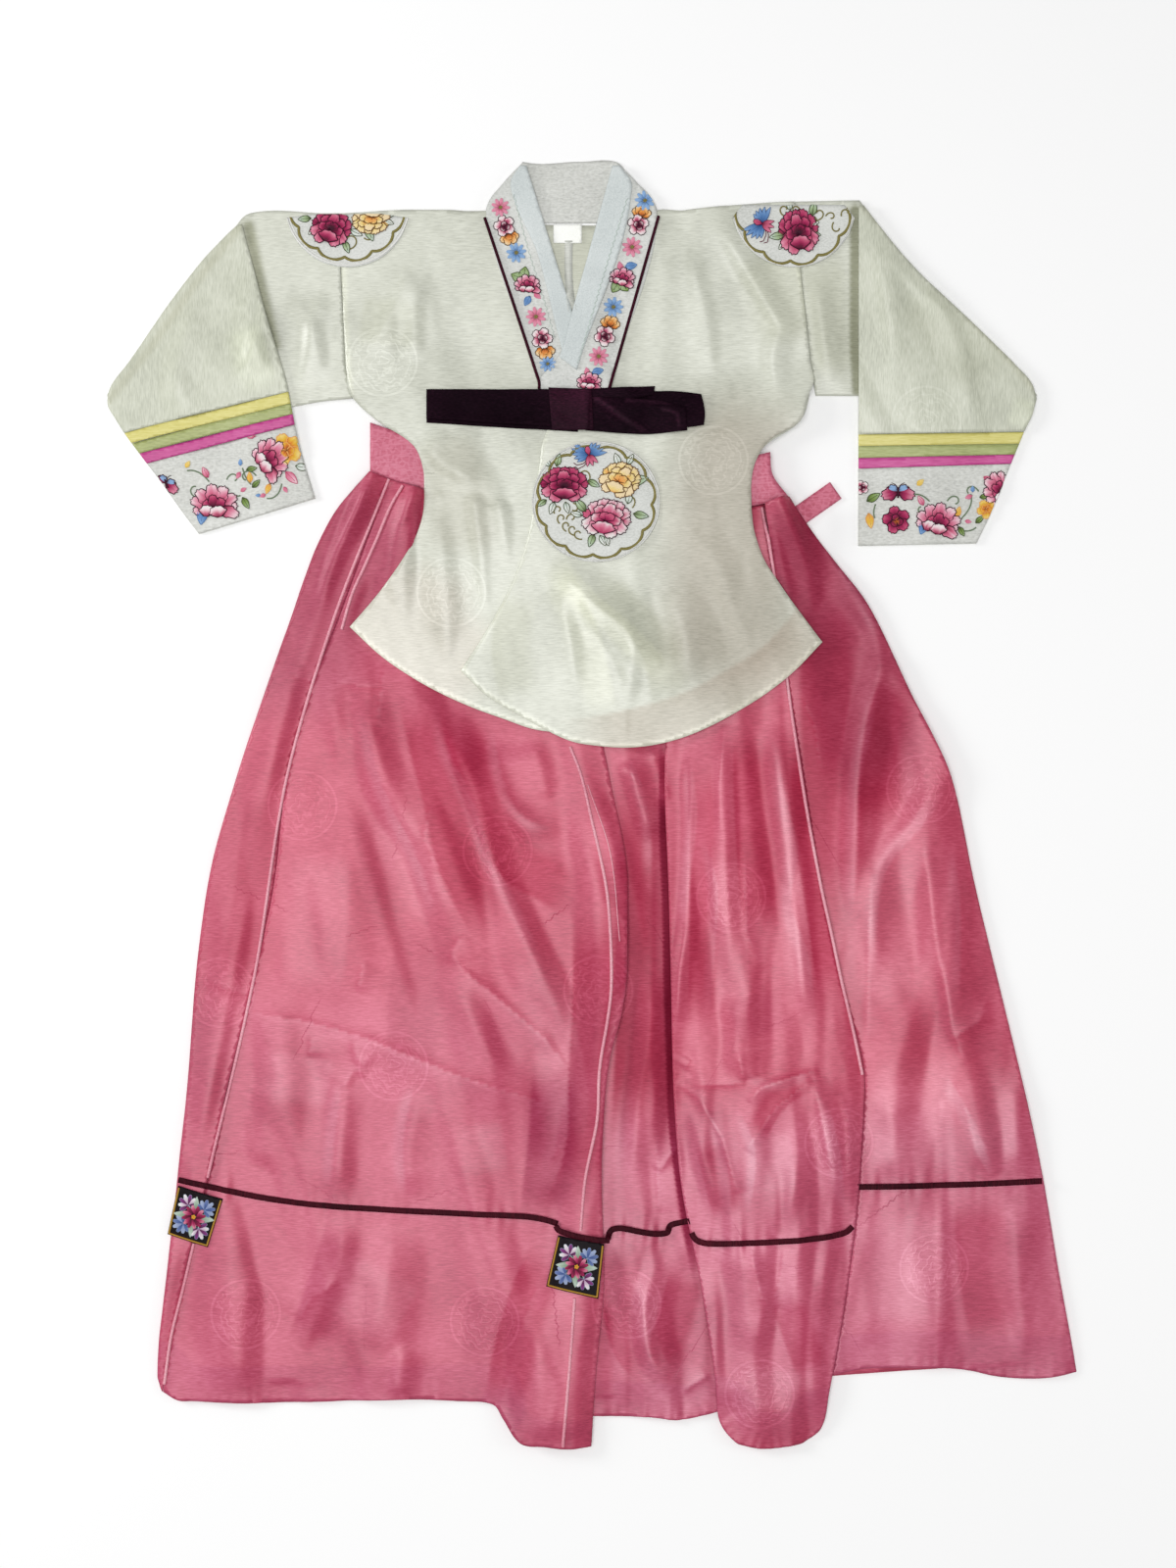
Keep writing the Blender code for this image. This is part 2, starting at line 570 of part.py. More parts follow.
def collar():
    """Back collar, the two collar bands, the stiff strips on their inner edges, piping and label."""
    out_left, out_right = smooth(COLLAR_LEFT), smooth(COLLAR_RIGHT)
    back = panel(out_left, out_right, smooth(COLLAR_TOP), level(NECK_FOOT + SEAM), shares(8), shares(4))
    cloth("collar_back", "collar_cloth", back)
    cloth("label", "label_cloth", four_sided(LABEL, 2, 2), TRIM)
    neck_left, neck_right = smooth(NECK_LEFT), smooth(NECK_RIGHT)
    strip_left, strip_right = smooth(STRIP_LEFT_OUTER), smooth(STRIP_RIGHT_OUTER)
    head = level(COLLAR_HEAD)
    foot = {name: level(y) for name, y in COLLAR_FEET.items()}
    strip_end = smooth(STRIP_RIGHT_END)
    cloth("collar_left", "collar_cloth", panel(out_left, neck_left, head, foot["left"], shares(3), shares(12)))
    plan = panel(strip_left, neck_left, head, foot["strip_left"], shares(1), shares(12))
    cloth("collar_strip_left", "collar_strip", plan, TRIM)
    cloth("collar_right", "collar_cloth", panel(neck_right, out_right, head, foot["right"], shares(4), shares(14)))
    plan = panel(neck_right, strip_right, head, strip_end, shares(1), shares(12))
    cloth("collar_strip_right", "collar_strip", plan, TRIM)
    for name, line in PIPING.items():
        cloth(name, "ribbon_cloth", strip(line, PIPING_WIDTH, 12), TRIM)


def level(value):
    """An edge that keeps one value all along."""
    return lambda position: value


def medallions():
    """Round embroidered patches: one on the chest, and one over each shoulder that the fold cuts."""
    for row in MEDALLIONS:
        plan = disc(row["centre"], row["radii"], *row["grid"], row["cut"], row["pole"])
        cloth(f"medallion_{row['place']}", "collar_cloth", plan, TRIM, ring=True)


def bow():
    """Pre-tied bow: a flat loop to the left, two tails and a short loop to the right, and the knot."""
    for name, drop in (("bow_loop_under", LOOP["drop"]), ("bow_loop_over", 0)):
        bottom = smooth((
            (LOOP["end"], LOOP["bottom_at_end"] - drop),
            (LOOP["inside"], LOOP["bottom_inside"] - drop),
        ))
        ends = level(LOOP["end"]), level(LOOP["inside"])
        cloth(name, "bow_cloth", panel(*ends, level(LOOP["top"] - drop), bottom, shares(8), shares(3)))
    for name, edge in TAILS.items():
        sides = level(edge["upper"][0][0]), smooth(edge["end"])
        plan = panel(*sides, smooth(edge["upper"]), smooth(edge["lower"]), shares(8), shares(3))
        cloth(name, "bow_cloth", plan)
    cloth("bow_knot", "bow_cloth", four_sided(KNOT, 4, 5), arch=KNOT_ARCH)


for item in list(bpy.data.objects):
    bpy.data.objects.remove(item, do_unlink=True)
skirt()
skirt_trims()
for hand in ("left", "right"):
    sleeve(hand)
jacket_body()
collar()
medallions()
bow()
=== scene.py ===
"""The looks of a child's hanbok that lies flat on a pale floor: satin, brocade, ribbon and embroidery."""

import math
import random

import bpy
import numpy as np
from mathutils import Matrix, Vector, geometry, noise
from mathutils.bvhtree import BVHTree


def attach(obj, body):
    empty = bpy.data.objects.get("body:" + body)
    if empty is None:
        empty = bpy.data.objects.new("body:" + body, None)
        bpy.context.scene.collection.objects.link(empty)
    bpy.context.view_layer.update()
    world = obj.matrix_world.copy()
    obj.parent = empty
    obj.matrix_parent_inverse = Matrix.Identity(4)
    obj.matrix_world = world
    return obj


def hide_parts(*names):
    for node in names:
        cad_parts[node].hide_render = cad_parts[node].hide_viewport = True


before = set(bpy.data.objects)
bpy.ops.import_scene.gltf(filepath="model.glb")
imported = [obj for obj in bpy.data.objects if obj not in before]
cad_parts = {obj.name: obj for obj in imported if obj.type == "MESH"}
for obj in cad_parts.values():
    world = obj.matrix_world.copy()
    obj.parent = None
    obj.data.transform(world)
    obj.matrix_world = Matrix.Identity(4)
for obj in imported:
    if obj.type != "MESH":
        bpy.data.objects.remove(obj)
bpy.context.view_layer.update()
MM = 0.001

# ---------------------------------------------------------------------------------------------
# Floor, light and camera. The set lies on a plain pale floor under a wide soft overhead light,
# and the camera looks straight down on it.
FLOOR_SIZE = 12.0
FLOOR_DROP = 0.0004
CAMERA_LENS = 55
CAMERA_FRAME_HEIGHT = 1.328  # metres of floor that the upright frame takes in
CAMERA_AIM = (-0.0037, 0.0174)
SENSOR_HEIGHT = 36

bpy.ops.object.select_all(action="DESELECT")
bpy.ops.mesh.primitive_plane_add(size=FLOOR_SIZE, location=(0, 0, -FLOOR_DROP))
floor = bpy.context.object
floor.name = "floor"
bpy.ops.object.transform_apply(location=True)
floor_finish = bpy.data.materials.new("pale_floor")
floor_finish.use_nodes = True
shader = floor_finish.node_tree.nodes["Principled BSDF"]
shader.inputs["Base Color"].default_value = (0.98, 0.98, 0.98, 1)
shader.inputs["Roughness"].default_value = 0.9
shader.inputs["Specular IOR Level"].default_value = 0.1
floor.data.materials.append(floor_finish)

LIGHTS = (
    {"name": "overhead", "place": (-0.35, -0.2, 4.0), "size": 2.8, "power": 98},
    {"name": "side_left", "place": (-2.2, 0.6, 0.9), "size": 0.8, "power": 20},
    {"name": "side_right", "place": (2.2, 0.0, 1.0), "size": 0.8, "power": 4},
)
for row in LIGHTS:
    bpy.ops.object.light_add(type="AREA", location=row["place"])
    lamp = bpy.context.object
    lamp.name = row["name"]
    lamp.data.shape = "DISK"
    lamp.data.size = row["size"]
    lamp.data.energy = row["power"]
    lamp.rotation_euler = Vector(row["place"]).to_track_quat("Z", "Y").to_euler()
world = bpy.data.worlds.new("soft_room")
world.use_nodes = True
world.node_tree.nodes["Background"].inputs["Color"].default_value = (1, 1, 1, 1)
world.node_tree.nodes["Background"].inputs["Strength"].default_value = 0.33
bpy.context.scene.world = world
bpy.context.scene.view_settings.view_transform = "Standard"

bpy.ops.object.camera_add(
    location=(*CAMERA_AIM, CAMERA_LENS / SENSOR_HEIGHT * CAMERA_FRAME_HEIGHT), rotation=(0, 0, 0)
)
camera = bpy.context.object
camera.data.lens = CAMERA_LENS
camera.data.sensor_fit = "VERTICAL"
camera.data.sensor_height = SENSOR_HEIGHT
bpy.context.scene.camera = camera

# ---------------------------------------------------------------------------------------------
# Skirt: gores of thin pink satin organza with woven roundels, sewn edge to edge, gathered into
# the band and turned up at the hem. Each is a fine sheet on its solid's form, with its own
# folds, pressed creases and gathers, laid on what is under it.
SHEET_GRAIN = 3.0  # mm between the points of a sheet that shows
HIDDEN_GRAIN = 9.0
CLOTH_THICKNESS = 0.7
LAYER_AIR = 0.3
LAP_HEIGHT = 6
CORNER_TURN = math.radians(50)  # a line through corners stays sharp where it turns by more
UPWARD = 0.08  # upright share of a face's normal from which it counts as an upper face
ROW_PITCH = 0.866  # rows of even triangles, in grains
RIM_CLEARANCE = 0.55  # least gap between the rim and the points inside it, in grains
PROBE_ROUNDS = 3
LINE_STEP = 12
TONE_STEP = 8
FOLD_CREST = 1.6
FOLD_FLANK = 1.2
FOLD_SPREAD = 1.15
FOLD_LEANS = (0.45, -0.35, 0.3, -0.5, 0.5, 0.2, -0.4)
FOLD_FADES = (0.3, 0.3)  # shares of a fold's length in which it fades in and out
FOLD_END = 0.02
CREASE_FADE = 0.25
CREASE_GENTLE_SIDE = 3.5
CREASE_FLANK = 1.4
FACET_SLANT = 0.4
FACET_DRIFT = 1.1
FACET_DRIFT_SCALE = 0.45
FACET_SEED = 7
UNEVEN_WAVES = (127.1, 311.7)  # they give each corner of the facets a level of its own
UNEVEN_SEED = 74.7
UNEVEN_SPREAD = 4375.85
PUCKER_DRIFT = 0.55
PUCKER_DRIFT_SCALE = 0.6
PUCKER_STRENGTH, PUCKER_VARIETY = 0.35, 1.9
PUCKER_VARIETY_SCALE = 0.35
GATHER_FADES = (0.02, 0.9)
SEAM_FLAT = 3  # mm beside a seam in which the cloth lies flat
SEAM_RISE = 12
CRISP_FROM, CRISP_TO = 5, 26  # softness of the tones that have one crisp edge
CRISP_SHIFT = 0.3
CRISP_SHARE = 0.28
SOFT_SHARE = 1.1
TONE_FADE = 0.22
# painted shade and highlight by lean: the lean at which it is full, and the shares of a downward lean and of
# a crease's flank
LEAN_SHADE_SPAN = 0.26
LEAN_SHADE_DOWN = 0.25
LEAN_SHADE_CREASE = 0.16
NO_MOTIF = 9.0
ROUNDEL_RADIUS = 30
laid = []  # upper surface and reach of each sheet that is already down
noise.seed_set(FACET_SEED)  # else the vector noise of the facets would differ from run to run


def upper_face(node):
    """The upper face of a solid as a tree for rays, and its outline in plan, in mm."""
    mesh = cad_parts[node].data
    mesh.calc_loop_triangles()
    points = np.array([v.co[:] for v in mesh.vertices])
    points, merged = np.unique(np.round(points, 6), axis=0, return_inverse=True)
    faces = merged.reshape(-1)[np.array([t.vertices[:] for t in mesh.loop_triangles])]
    a, b, c = (points[faces[:, i]] for i in range(3))
    normal = np.cross(b - a, c - a)
    faces = faces[normal[:, 2] > UPWARD * np.linalg.norm(normal, axis=1)]
    edges = {(int(f[i]), int(f[(i + 1) % 3])) for f in faces for i in range(3)}
    after = {a: b for a, b in edges if (b, a) not in edges}
    loops = []
    while after:
        start, step = after.popitem()
        loop = [start]
        while step != start:
            loop.append(step)
            step = after.pop(step)
        loops.append(loop)
    tree = BVHTree.FromPolygons([Vector(p) for p in points], [tuple(map(int, f)) for f in faces])
    return tree, points[max(loops, key=len)][:, :2] / MM


def joined_outline(first, second):
    """The outline round two pieces in plan that overlap: each one's longest run outside the other."""
    runs = []
    for ring, other in ((first, second), (second, first)):
        outside = ~within(ring, other)
        turn = int(np.nonzero(~outside)[0][0])
        ring, outside = np.roll(ring, -turn, axis=0), np.roll(outside, -turn)
        parts = np.split(ring, np.nonzero(np.diff(outside.astype(int)))[0] + 1)
        runs.append(max(parts[1::2], key=len))
    return np.concatenate(runs)


def curve_through(corners, step, closed=False):
    """A line through the corners, resampled, that is smooth but for its hard turns."""
    corners = np.array(corners, float)
    if closed:
        before, beyond = np.roll(corners, 1, axis=0), np.roll(corners, -1, axis=0)
    else:
        before = np.concatenate((2 * corners[:1] - corners[1:2], corners[:-1]))
        beyond = np.concatenate((corners[1:], 2 * corners[-1:] - corners[-2:-1]))
    arriving, leaving = corners - before, beyond - corners
    cross = arriving[:, 0] * leaving[:, 1] - arriving[:, 1] * leaving[:, 0]
    sharp = np.abs(np.arctan2(cross, (arriving * leaving).sum(axis=1))) > CORNER_TURN
    heading = beyond - before
    heading /= np.maximum(1e-9, np.linalg.norm(heading, axis=1))[:, None]
    curve = []
    for i in range(len(corners) if closed else len(corners) - 1):
        k = (i + 1) % len(corners)
        span = corners[k] - corners[i]
        length = np.linalg.norm(span)
        start = span if sharp[i] else heading[i] * length
        end = span if sharp[k] else heading[k] * length
        count = max(1, round(length / step))
        for s in np.arange(count) / count:
            hermite = corners[i] * (1 + 2 * s) * (1 - s) ** 2 + corners[k] * s * s * (3 - 2 * s)
            curve.append(hermite + start * s * (1 - s) ** 2 - end * s * s * (1 - s))
    return np.array(curve if closed else curve + [corners[-1]])


def within(points, outline):
    """Which plan points lie inside a closed outline."""
    crossings = np.zeros(len(points), int)
    for (x0, y0), (x1, y1) in zip(outline, np.roll(outline, -1, axis=0)):
        if y0 != y1:
            level = (points[:, 1] >= min(y0, y1)) & (points[:, 1] < max(y0, y1))
            crossings += level & (points[:, 0] < x0 + (points[:, 1] - y0) * (x1 - x0) / (y1 - y0))
    return crossings % 2 == 1


def even_mesh(outline, grain):
    """Plan points evenly over the inside of an outline, and the triangles between them."""
    low, high = outline.min(axis=0), outline.max(axis=0)
    rows = []
    for i, y in enumerate(np.arange(low[1], high[1], grain * ROW_PITCH)):
        across = np.arange(low[0] + i % 2 * grain / 2, high[0], grain)
        rows.append(np.stack((across, np.full(len(across), y)), axis=1))
    points = np.concatenate(rows) if rows else np.zeros((0, 2))
    points = points[within(points, outline)]
    for part in np.array_split(outline, max(1, len(outline) // 64)):
        gap = np.linalg.norm(points[:, None, :] - part[None, :, :], axis=2)
        points = points[gap.min(axis=1) > grain * RIM_CLEARANCE] if len(points) else points
    every = [Vector(p) for p in np.concatenate((outline, points))]
    rim = [(i, (i + 1) % len(outline)) for i in range(len(outline))]
    found = geometry.delaunay_2d_cdt(every, rim, [], 1, 1e-4)
    return np.array([p[:] for p in found[0]]), np.array([f[:] for f in found[2]])


def evened(height, faces, rounds, floor=None):
    """Height of each point evened out with its neighbours', never below a floor."""
    ends = np.concatenate([faces[:, [0, 1]], faces[:, [1, 2]], faces[:, [2, 0]]])
    ends = np.concatenate([ends, ends[:, ::-1]])
    total = np.bincount(ends[:, 0], minlength=len(height))
    for _ in range(rounds):
        mean = np.bincount(ends[:, 0], weights=height[ends[:, 1]], minlength=len(height)) / total
        height = (height + mean) / 2
        if floor is not None:
            height = np.maximum(height, floor)
    return height


def cloth_under(points):
    """Height in mm of the cloth that is already down under each plan point, or the floor's."""
    heights = np.zeros(len(points))
    for tree, low, high in laid:
        for i in np.nonzero(((points > low) & (points < high)).all(axis=1))[0]:
            hit = tree.ray_cast(Vector((*points[i] * MM, 1)), Vector((0, 0, -1)))[0]
            if hit is not None:
                heights[i] = max(heights[i], hit.z / MM)
    return heights


def beside(points, line):
    """How far each point is from a line, how far along it, the line's length, in mm, and its side."""
    line = np.array(line, float)
    lengths = np.linalg.norm(np.diff(line, axis=0), axis=1)
    gap, along, side, begun = np.full(len(points), 1e9), np.zeros(len(points)), np.zeros(len(points)), 0.0
    for start, span, length in zip(line, np.diff(line, axis=0), lengths):
        share = np.clip((points - start) @ span / length**2, 0, 1)
        offset = points - start - share[:, None] * span
        distance = np.linalg.norm(offset, axis=1)
        nearer = distance < gap
        gap[nearer] = distance[nearer]
        along[nearer] = (begun + share * length)[nearer]
        side[nearer] = np.sign(span[0] * offset[:, 1] - span[1] * offset[:, 0])[nearer]
        begun += length
    return gap, along, begun, side


def folds_at(points, rows):
    """Height of folds with a crest: rows of height, half width, perhaps two fades, and line."""
    height = np.zeros(len(points))
    for i, (high, wide, *fades, line) in enumerate(rows):
        gap, along, length, side = beside(points, curve_through(line, LINE_STEP))
        fade_in, fade_out = fades or FOLD_FADES
        share = np.minimum((along / length + FOLD_END) / fade_in, (1 + FOLD_END - along / length) / fade_out)
        share = np.sin(np.clip(share, 0, 1) * math.pi / 2) ** 2
        slope = wide * (FOLD_SPREAD + FOLD_LEANS[i % len(FOLD_LEANS)] * side)  # one flank is the steeper
        fall = (np.sqrt(gap**2 + FOLD_CREST**2) - FOLD_CREST) / slope
        height += high * share * np.clip(1 - fall, 0, 1) ** FOLD_FLANK
    return height


def creases_at(points, rows):
    """Height of pressed creases, steep on one side, and how much each flank leans.

    Each row gives a height, a reach and a line.
    """
    height, flank = np.zeros(len(points)), np.zeros(len(points))
    for high, reach, line in rows:
        gap, along, length, side = beside(points, line)
        ends = np.sqrt(np.clip(np.minimum(along, length - along) / (CREASE_FADE * length), 0, 1))
        height += high * ends * np.exp(-gap / np.where(side > 0, CREASE_GENTLE_SIDE * reach, reach))
        flank += high * ends * side * np.exp(-gap / (CREASE_FLANK * reach))
    return height, flank


def crumple_at(points, rows):
    """Height of flat facets that meet in fine creases: rows of width, length, height, lean, seed."""
    height = np.zeros(len(points))
    for wide, long, high, lean, seed in rows:
        across, down = (points[:, 0] + lean * points[:, 1]) / wide, points[:, 1] / long
        spots = np.stack((across, down), axis=1) * FACET_DRIFT_SCALE
        drift = [noise.noise_vector(Vector((*spot, seed)))[:2] for spot in spots]
        place = np.stack((across, down + FACET_SLANT * across), axis=1) + FACET_DRIFT * np.array(drift)
        cell = np.floor(place)
        share = place - cell
        turned = share.sum(axis=1, keepdims=True) > 1
        share = np.where(turned, 1 - share, share)
        levels = []
        for corner in ((0, 0), (1, 0), (0, 1)):
            corners = cell + np.where(turned, 1 - np.array(corner), corner)
            wave = np.abs(np.sin(corners @ UNEVEN_WAVES + UNEVEN_SEED * seed))
            levels.append(2 * np.modf(UNEVEN_SPREAD * wave)[0] - 1)
        level, second, third = levels
        height += high * (level + share[:, 0] * (second - level) + share[:, 1] * (third - level))
    return height


def puckers_at(points, rows):
    """Height of the small puckers along a seam: rows of height, reach, pitch, seed, line."""
    height = np.zeros(len(points))
    for high, reach, pitch, seed, line in rows:
        gap, along, _, _ = beside(points, line)
        near = np.nonzero(gap < 3 * reach)[0]
        for i in near:
            place = along[i] / pitch
            drift = noise.noise(Vector((place * PUCKER_DRIFT_SCALE, seed, 0)))
            variety = abs(noise.noise(Vector((place * PUCKER_VARIETY_SCALE, seed, 5))))
            strength = PUCKER_STRENGTH + variety * PUCKER_VARIETY
            wave = math.sin(2 * math.pi * (place + PUCKER_DRIFT * drift))
            height[i] += high * strength * wave * math.exp(-gap[i] / reach)
    return height


def gathers(count, waist, feet, high, wide, seed):
    """Folds that run down from a gathered seam and spread, as rows for folds_at."""
    dice = random.Random(seed)
    rows = []
    for i in range(count):
        share = (i + dice.uniform(0.2, 0.8)) / count
        top = [a + (b - a) * share for a, b in zip(*waist)]
        foot = [a + (b - a) * share + dice.uniform(-4, 4) for a, b in zip(*feet)]
        end = dice.uniform(0.45, 1.0)
        foot = [a + (b - a) * end for a, b in zip(top, foot)]
        row = (high * dice.uniform(0.6, 1.2), wide * dice.uniform(0.8, 1.3), *GATHER_FADES, (top, foot))
        rows.append(row)
    return rows


def tones_at(points, rows):
    """The tone of each point, painted shade and painted highlight as well as the cloth's own bands: rows of
    colour, half width, softness and line.
    """
    tint = np.ones((len(points), 3))
    for colour, wide, soft, line in rows:
        gap, along, length, side = beside(points, curve_through(line, TONE_STEP))
        fades = soft > CRISP_FROM
        if CRISP_FROM < soft < CRISP_TO:  # a painted shade stretch is crisp on its left and a painted highlight on its right, as on folds lit from the left
            sharp = side < 0 if sum(colour) < 3 else side > 0
            wide = np.where(sharp, wide + CRISP_SHIFT * soft, wide)
            soft = np.where(sharp, CRISP_SHARE * soft, SOFT_SHARE * soft)
        share = 1 - np.clip((gap - wide) / soft, 0, 1)
        if fades:
            ends = np.clip(np.minimum(along, length - along) / (TONE_FADE * length), 0, 1)
            share = np.sin(share * ends * math.pi / 2) ** 2
        tint *= 1 + (np.array(colour) - 1) * share[:, None]
    return tint


def cloth_mesh(name, points, height, faces, finish):
    """A smooth mesh of one material through plan points in mm and their heights."""
    mesh = bpy.data.meshes.new(name)
    mesh.from_pydata([(x * MM, y * MM, z * MM) for (x, y), z in zip(points, height)], [], faces.tolist())
    if sum(f.normal.z for f in mesh.polygons) < 0:
        mesh.flip_normals()
    mesh.shade_smooth()
    mesh.materials.append(finish)
    return mesh


def map_points(mesh, layer, places):
    """A UV layer in which each corner has the place of its point."""
    corners = np.empty(len(mesh.loops), int)
    mesh.loops.foreach_get("vertex_index", corners)
    mesh.uv_layers.new(name=layer).data.foreach_set("uv", places[corners].reshape(-1))


def thicken(name, mesh, thick):
    """A piece that is a mesh with a thickness below it."""
    piece = bpy.data.objects.new(name, mesh)
    bpy.context.scene.collection.objects.link(piece)
    bpy.ops.object.select_all(action="DESELECT")
    piece.select_set(True)
    bpy.context.view_layer.objects.active = piece
    wall = piece.modifiers.new("thickness", "SOLIDIFY")
    wall.thickness = thick * MM
    wall.offset = -1
    bpy.ops.object.modifier_apply(modifier="thickness")
    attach(piece, "root")
    return piece


def lay_cloth(name, nodes, finish, slot, rests_on, outline=None, grain=SHEET_GRAIN, thick=CLOTH_THICKNESS,
              even=14, folds=(), creases=(), crumple=(), puckers=(), pressed=(), lean_shade=None, tones=(),
              motifs=()):
    """One sheet of cloth in the place of a solid: its form and folds, then its thickness."""
    nodes = [nodes] if isinstance(nodes, str) else nodes
    forms = [upper_face(node) for node in nodes]
    rim = curve_through(forms[0][1] if outline is None else outline, grain, closed=True)
    points, faces = even_mesh(rim, grain)
    inward = [evened(points[:, i], faces, PROBE_ROUNDS) for i in (0, 1)]
    probes = np.stack(inward, axis=1)  # a little in from the rim
    height = np.zeros(len(points))
    for i, (x, y) in enumerate(probes * MM):
        hits = [tree.ray_cast(Vector((x, y, 1)), Vector((0, 0, -1)))[0] for tree, _ in forms]
        if not any(hits):
            hits = [forms[0][0].find_nearest(Vector((x, y, LAP_HEIGHT * MM)))[0]]
        height[i] = max(hit.z for hit in hits if hit) / MM
    height = evened(height, faces, even)
    relief = folds_at(points, folds) + crumple_at(points, crumple) + puckers_at(points, puckers)
    for line in pressed:
        gap = beside(points, curve_through(line, LINE_STEP))[0]
        relief *= np.clip((gap - SEAM_FLAT) / SEAM_RISE, 0, 1)
    height += relief
    lowest = cloth_under(probes) + LAYER_AIR + thick
    creased, flank = creases_at(points, creases)
    height = evened(np.maximum(height, lowest), faces, 2, floor=lowest) + creased
    mesh = cloth_mesh(name, points, height, faces, finish)
    tint = tones_at(points, tones)
    if lean_shade:  # painted shade where the cloth leans to the right, away from the light, and painted highlight where it leans to the left, towards it
        lean = np.array([v.normal.x - LEAN_SHADE_DOWN * v.normal.y for v in mesh.vertices]) - LEAN_SHADE_CREASE * flank
        for colour, share in zip(lean_shade, (lean / LEAN_SHADE_SPAN, -lean / LEAN_SHADE_SPAN)):
            tint *= 1 + (np.array(colour) - 1) * np.clip(share, 0, 1)[:, None]
    tint = np.append(tint, np.ones((len(tint), 1)), axis=1)
    mesh.attributes.new("tone", "FLOAT_COLOR", "POINT").data.foreach_set("color", tint.reshape(-1))
    place = np.full((len(points), 2), NO_MOTIF)
    for centre in motifs:
        offset = (points - np.array(centre)) / ROUNDEL_RADIUS
        nearer = np.linalg.norm(offset, axis=1) < np.linalg.norm(place, axis=1)
        place[nearer] = offset[nearer]
    map_points(mesh, "motif", place)
    surface = BVHTree.FromPolygons([v.co for v in mesh.vertices], [tuple(f.vertices) for f in mesh.polygons])
    laid.append((surface, points.min(axis=0), points.max(axis=0)))
    piece = thicken(name, mesh, thick)
    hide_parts(*nodes)


MIX_SHARE, MIX_FIRST, MIX_SECOND, MIX_RESULT = 0, 6, 7, 2  # sockets of a mix of two colours
SHEEN_FALL = 2.3  # how much sooner than its colour a shaded stretch loses its sheen
LEAST_SHEEN = 0.05


def screen_colour(code):
    """A colour written as on a screen, such as c8506e, as a linear one."""
    parts = [int(code[i:i + 2], 16) / 255 for i in (0, 2, 4)]
    return tuple(c / 12.92 if c <= 0.04045 else ((c + 0.055) / 1.055) ** 2.4 for c in parts)


def new_finish(name):
    """A new material, its shader, and the ways to add a node to it and to link two sockets."""
    made = bpy.data.materials.new(name)
    made.use_nodes = True
    nodes = made.node_tree.nodes

    def node(kind, **settings):
        added = nodes.new("ShaderNode" + kind)
        for key, value in settings.items():
            if key[0].isupper():
                added.inputs[key.replace("_", " ")].default_value = value
            else:
                setattr(added, key, value)
        return added

    return made, nodes["Principled BSDF"], node, made.node_tree.links.new


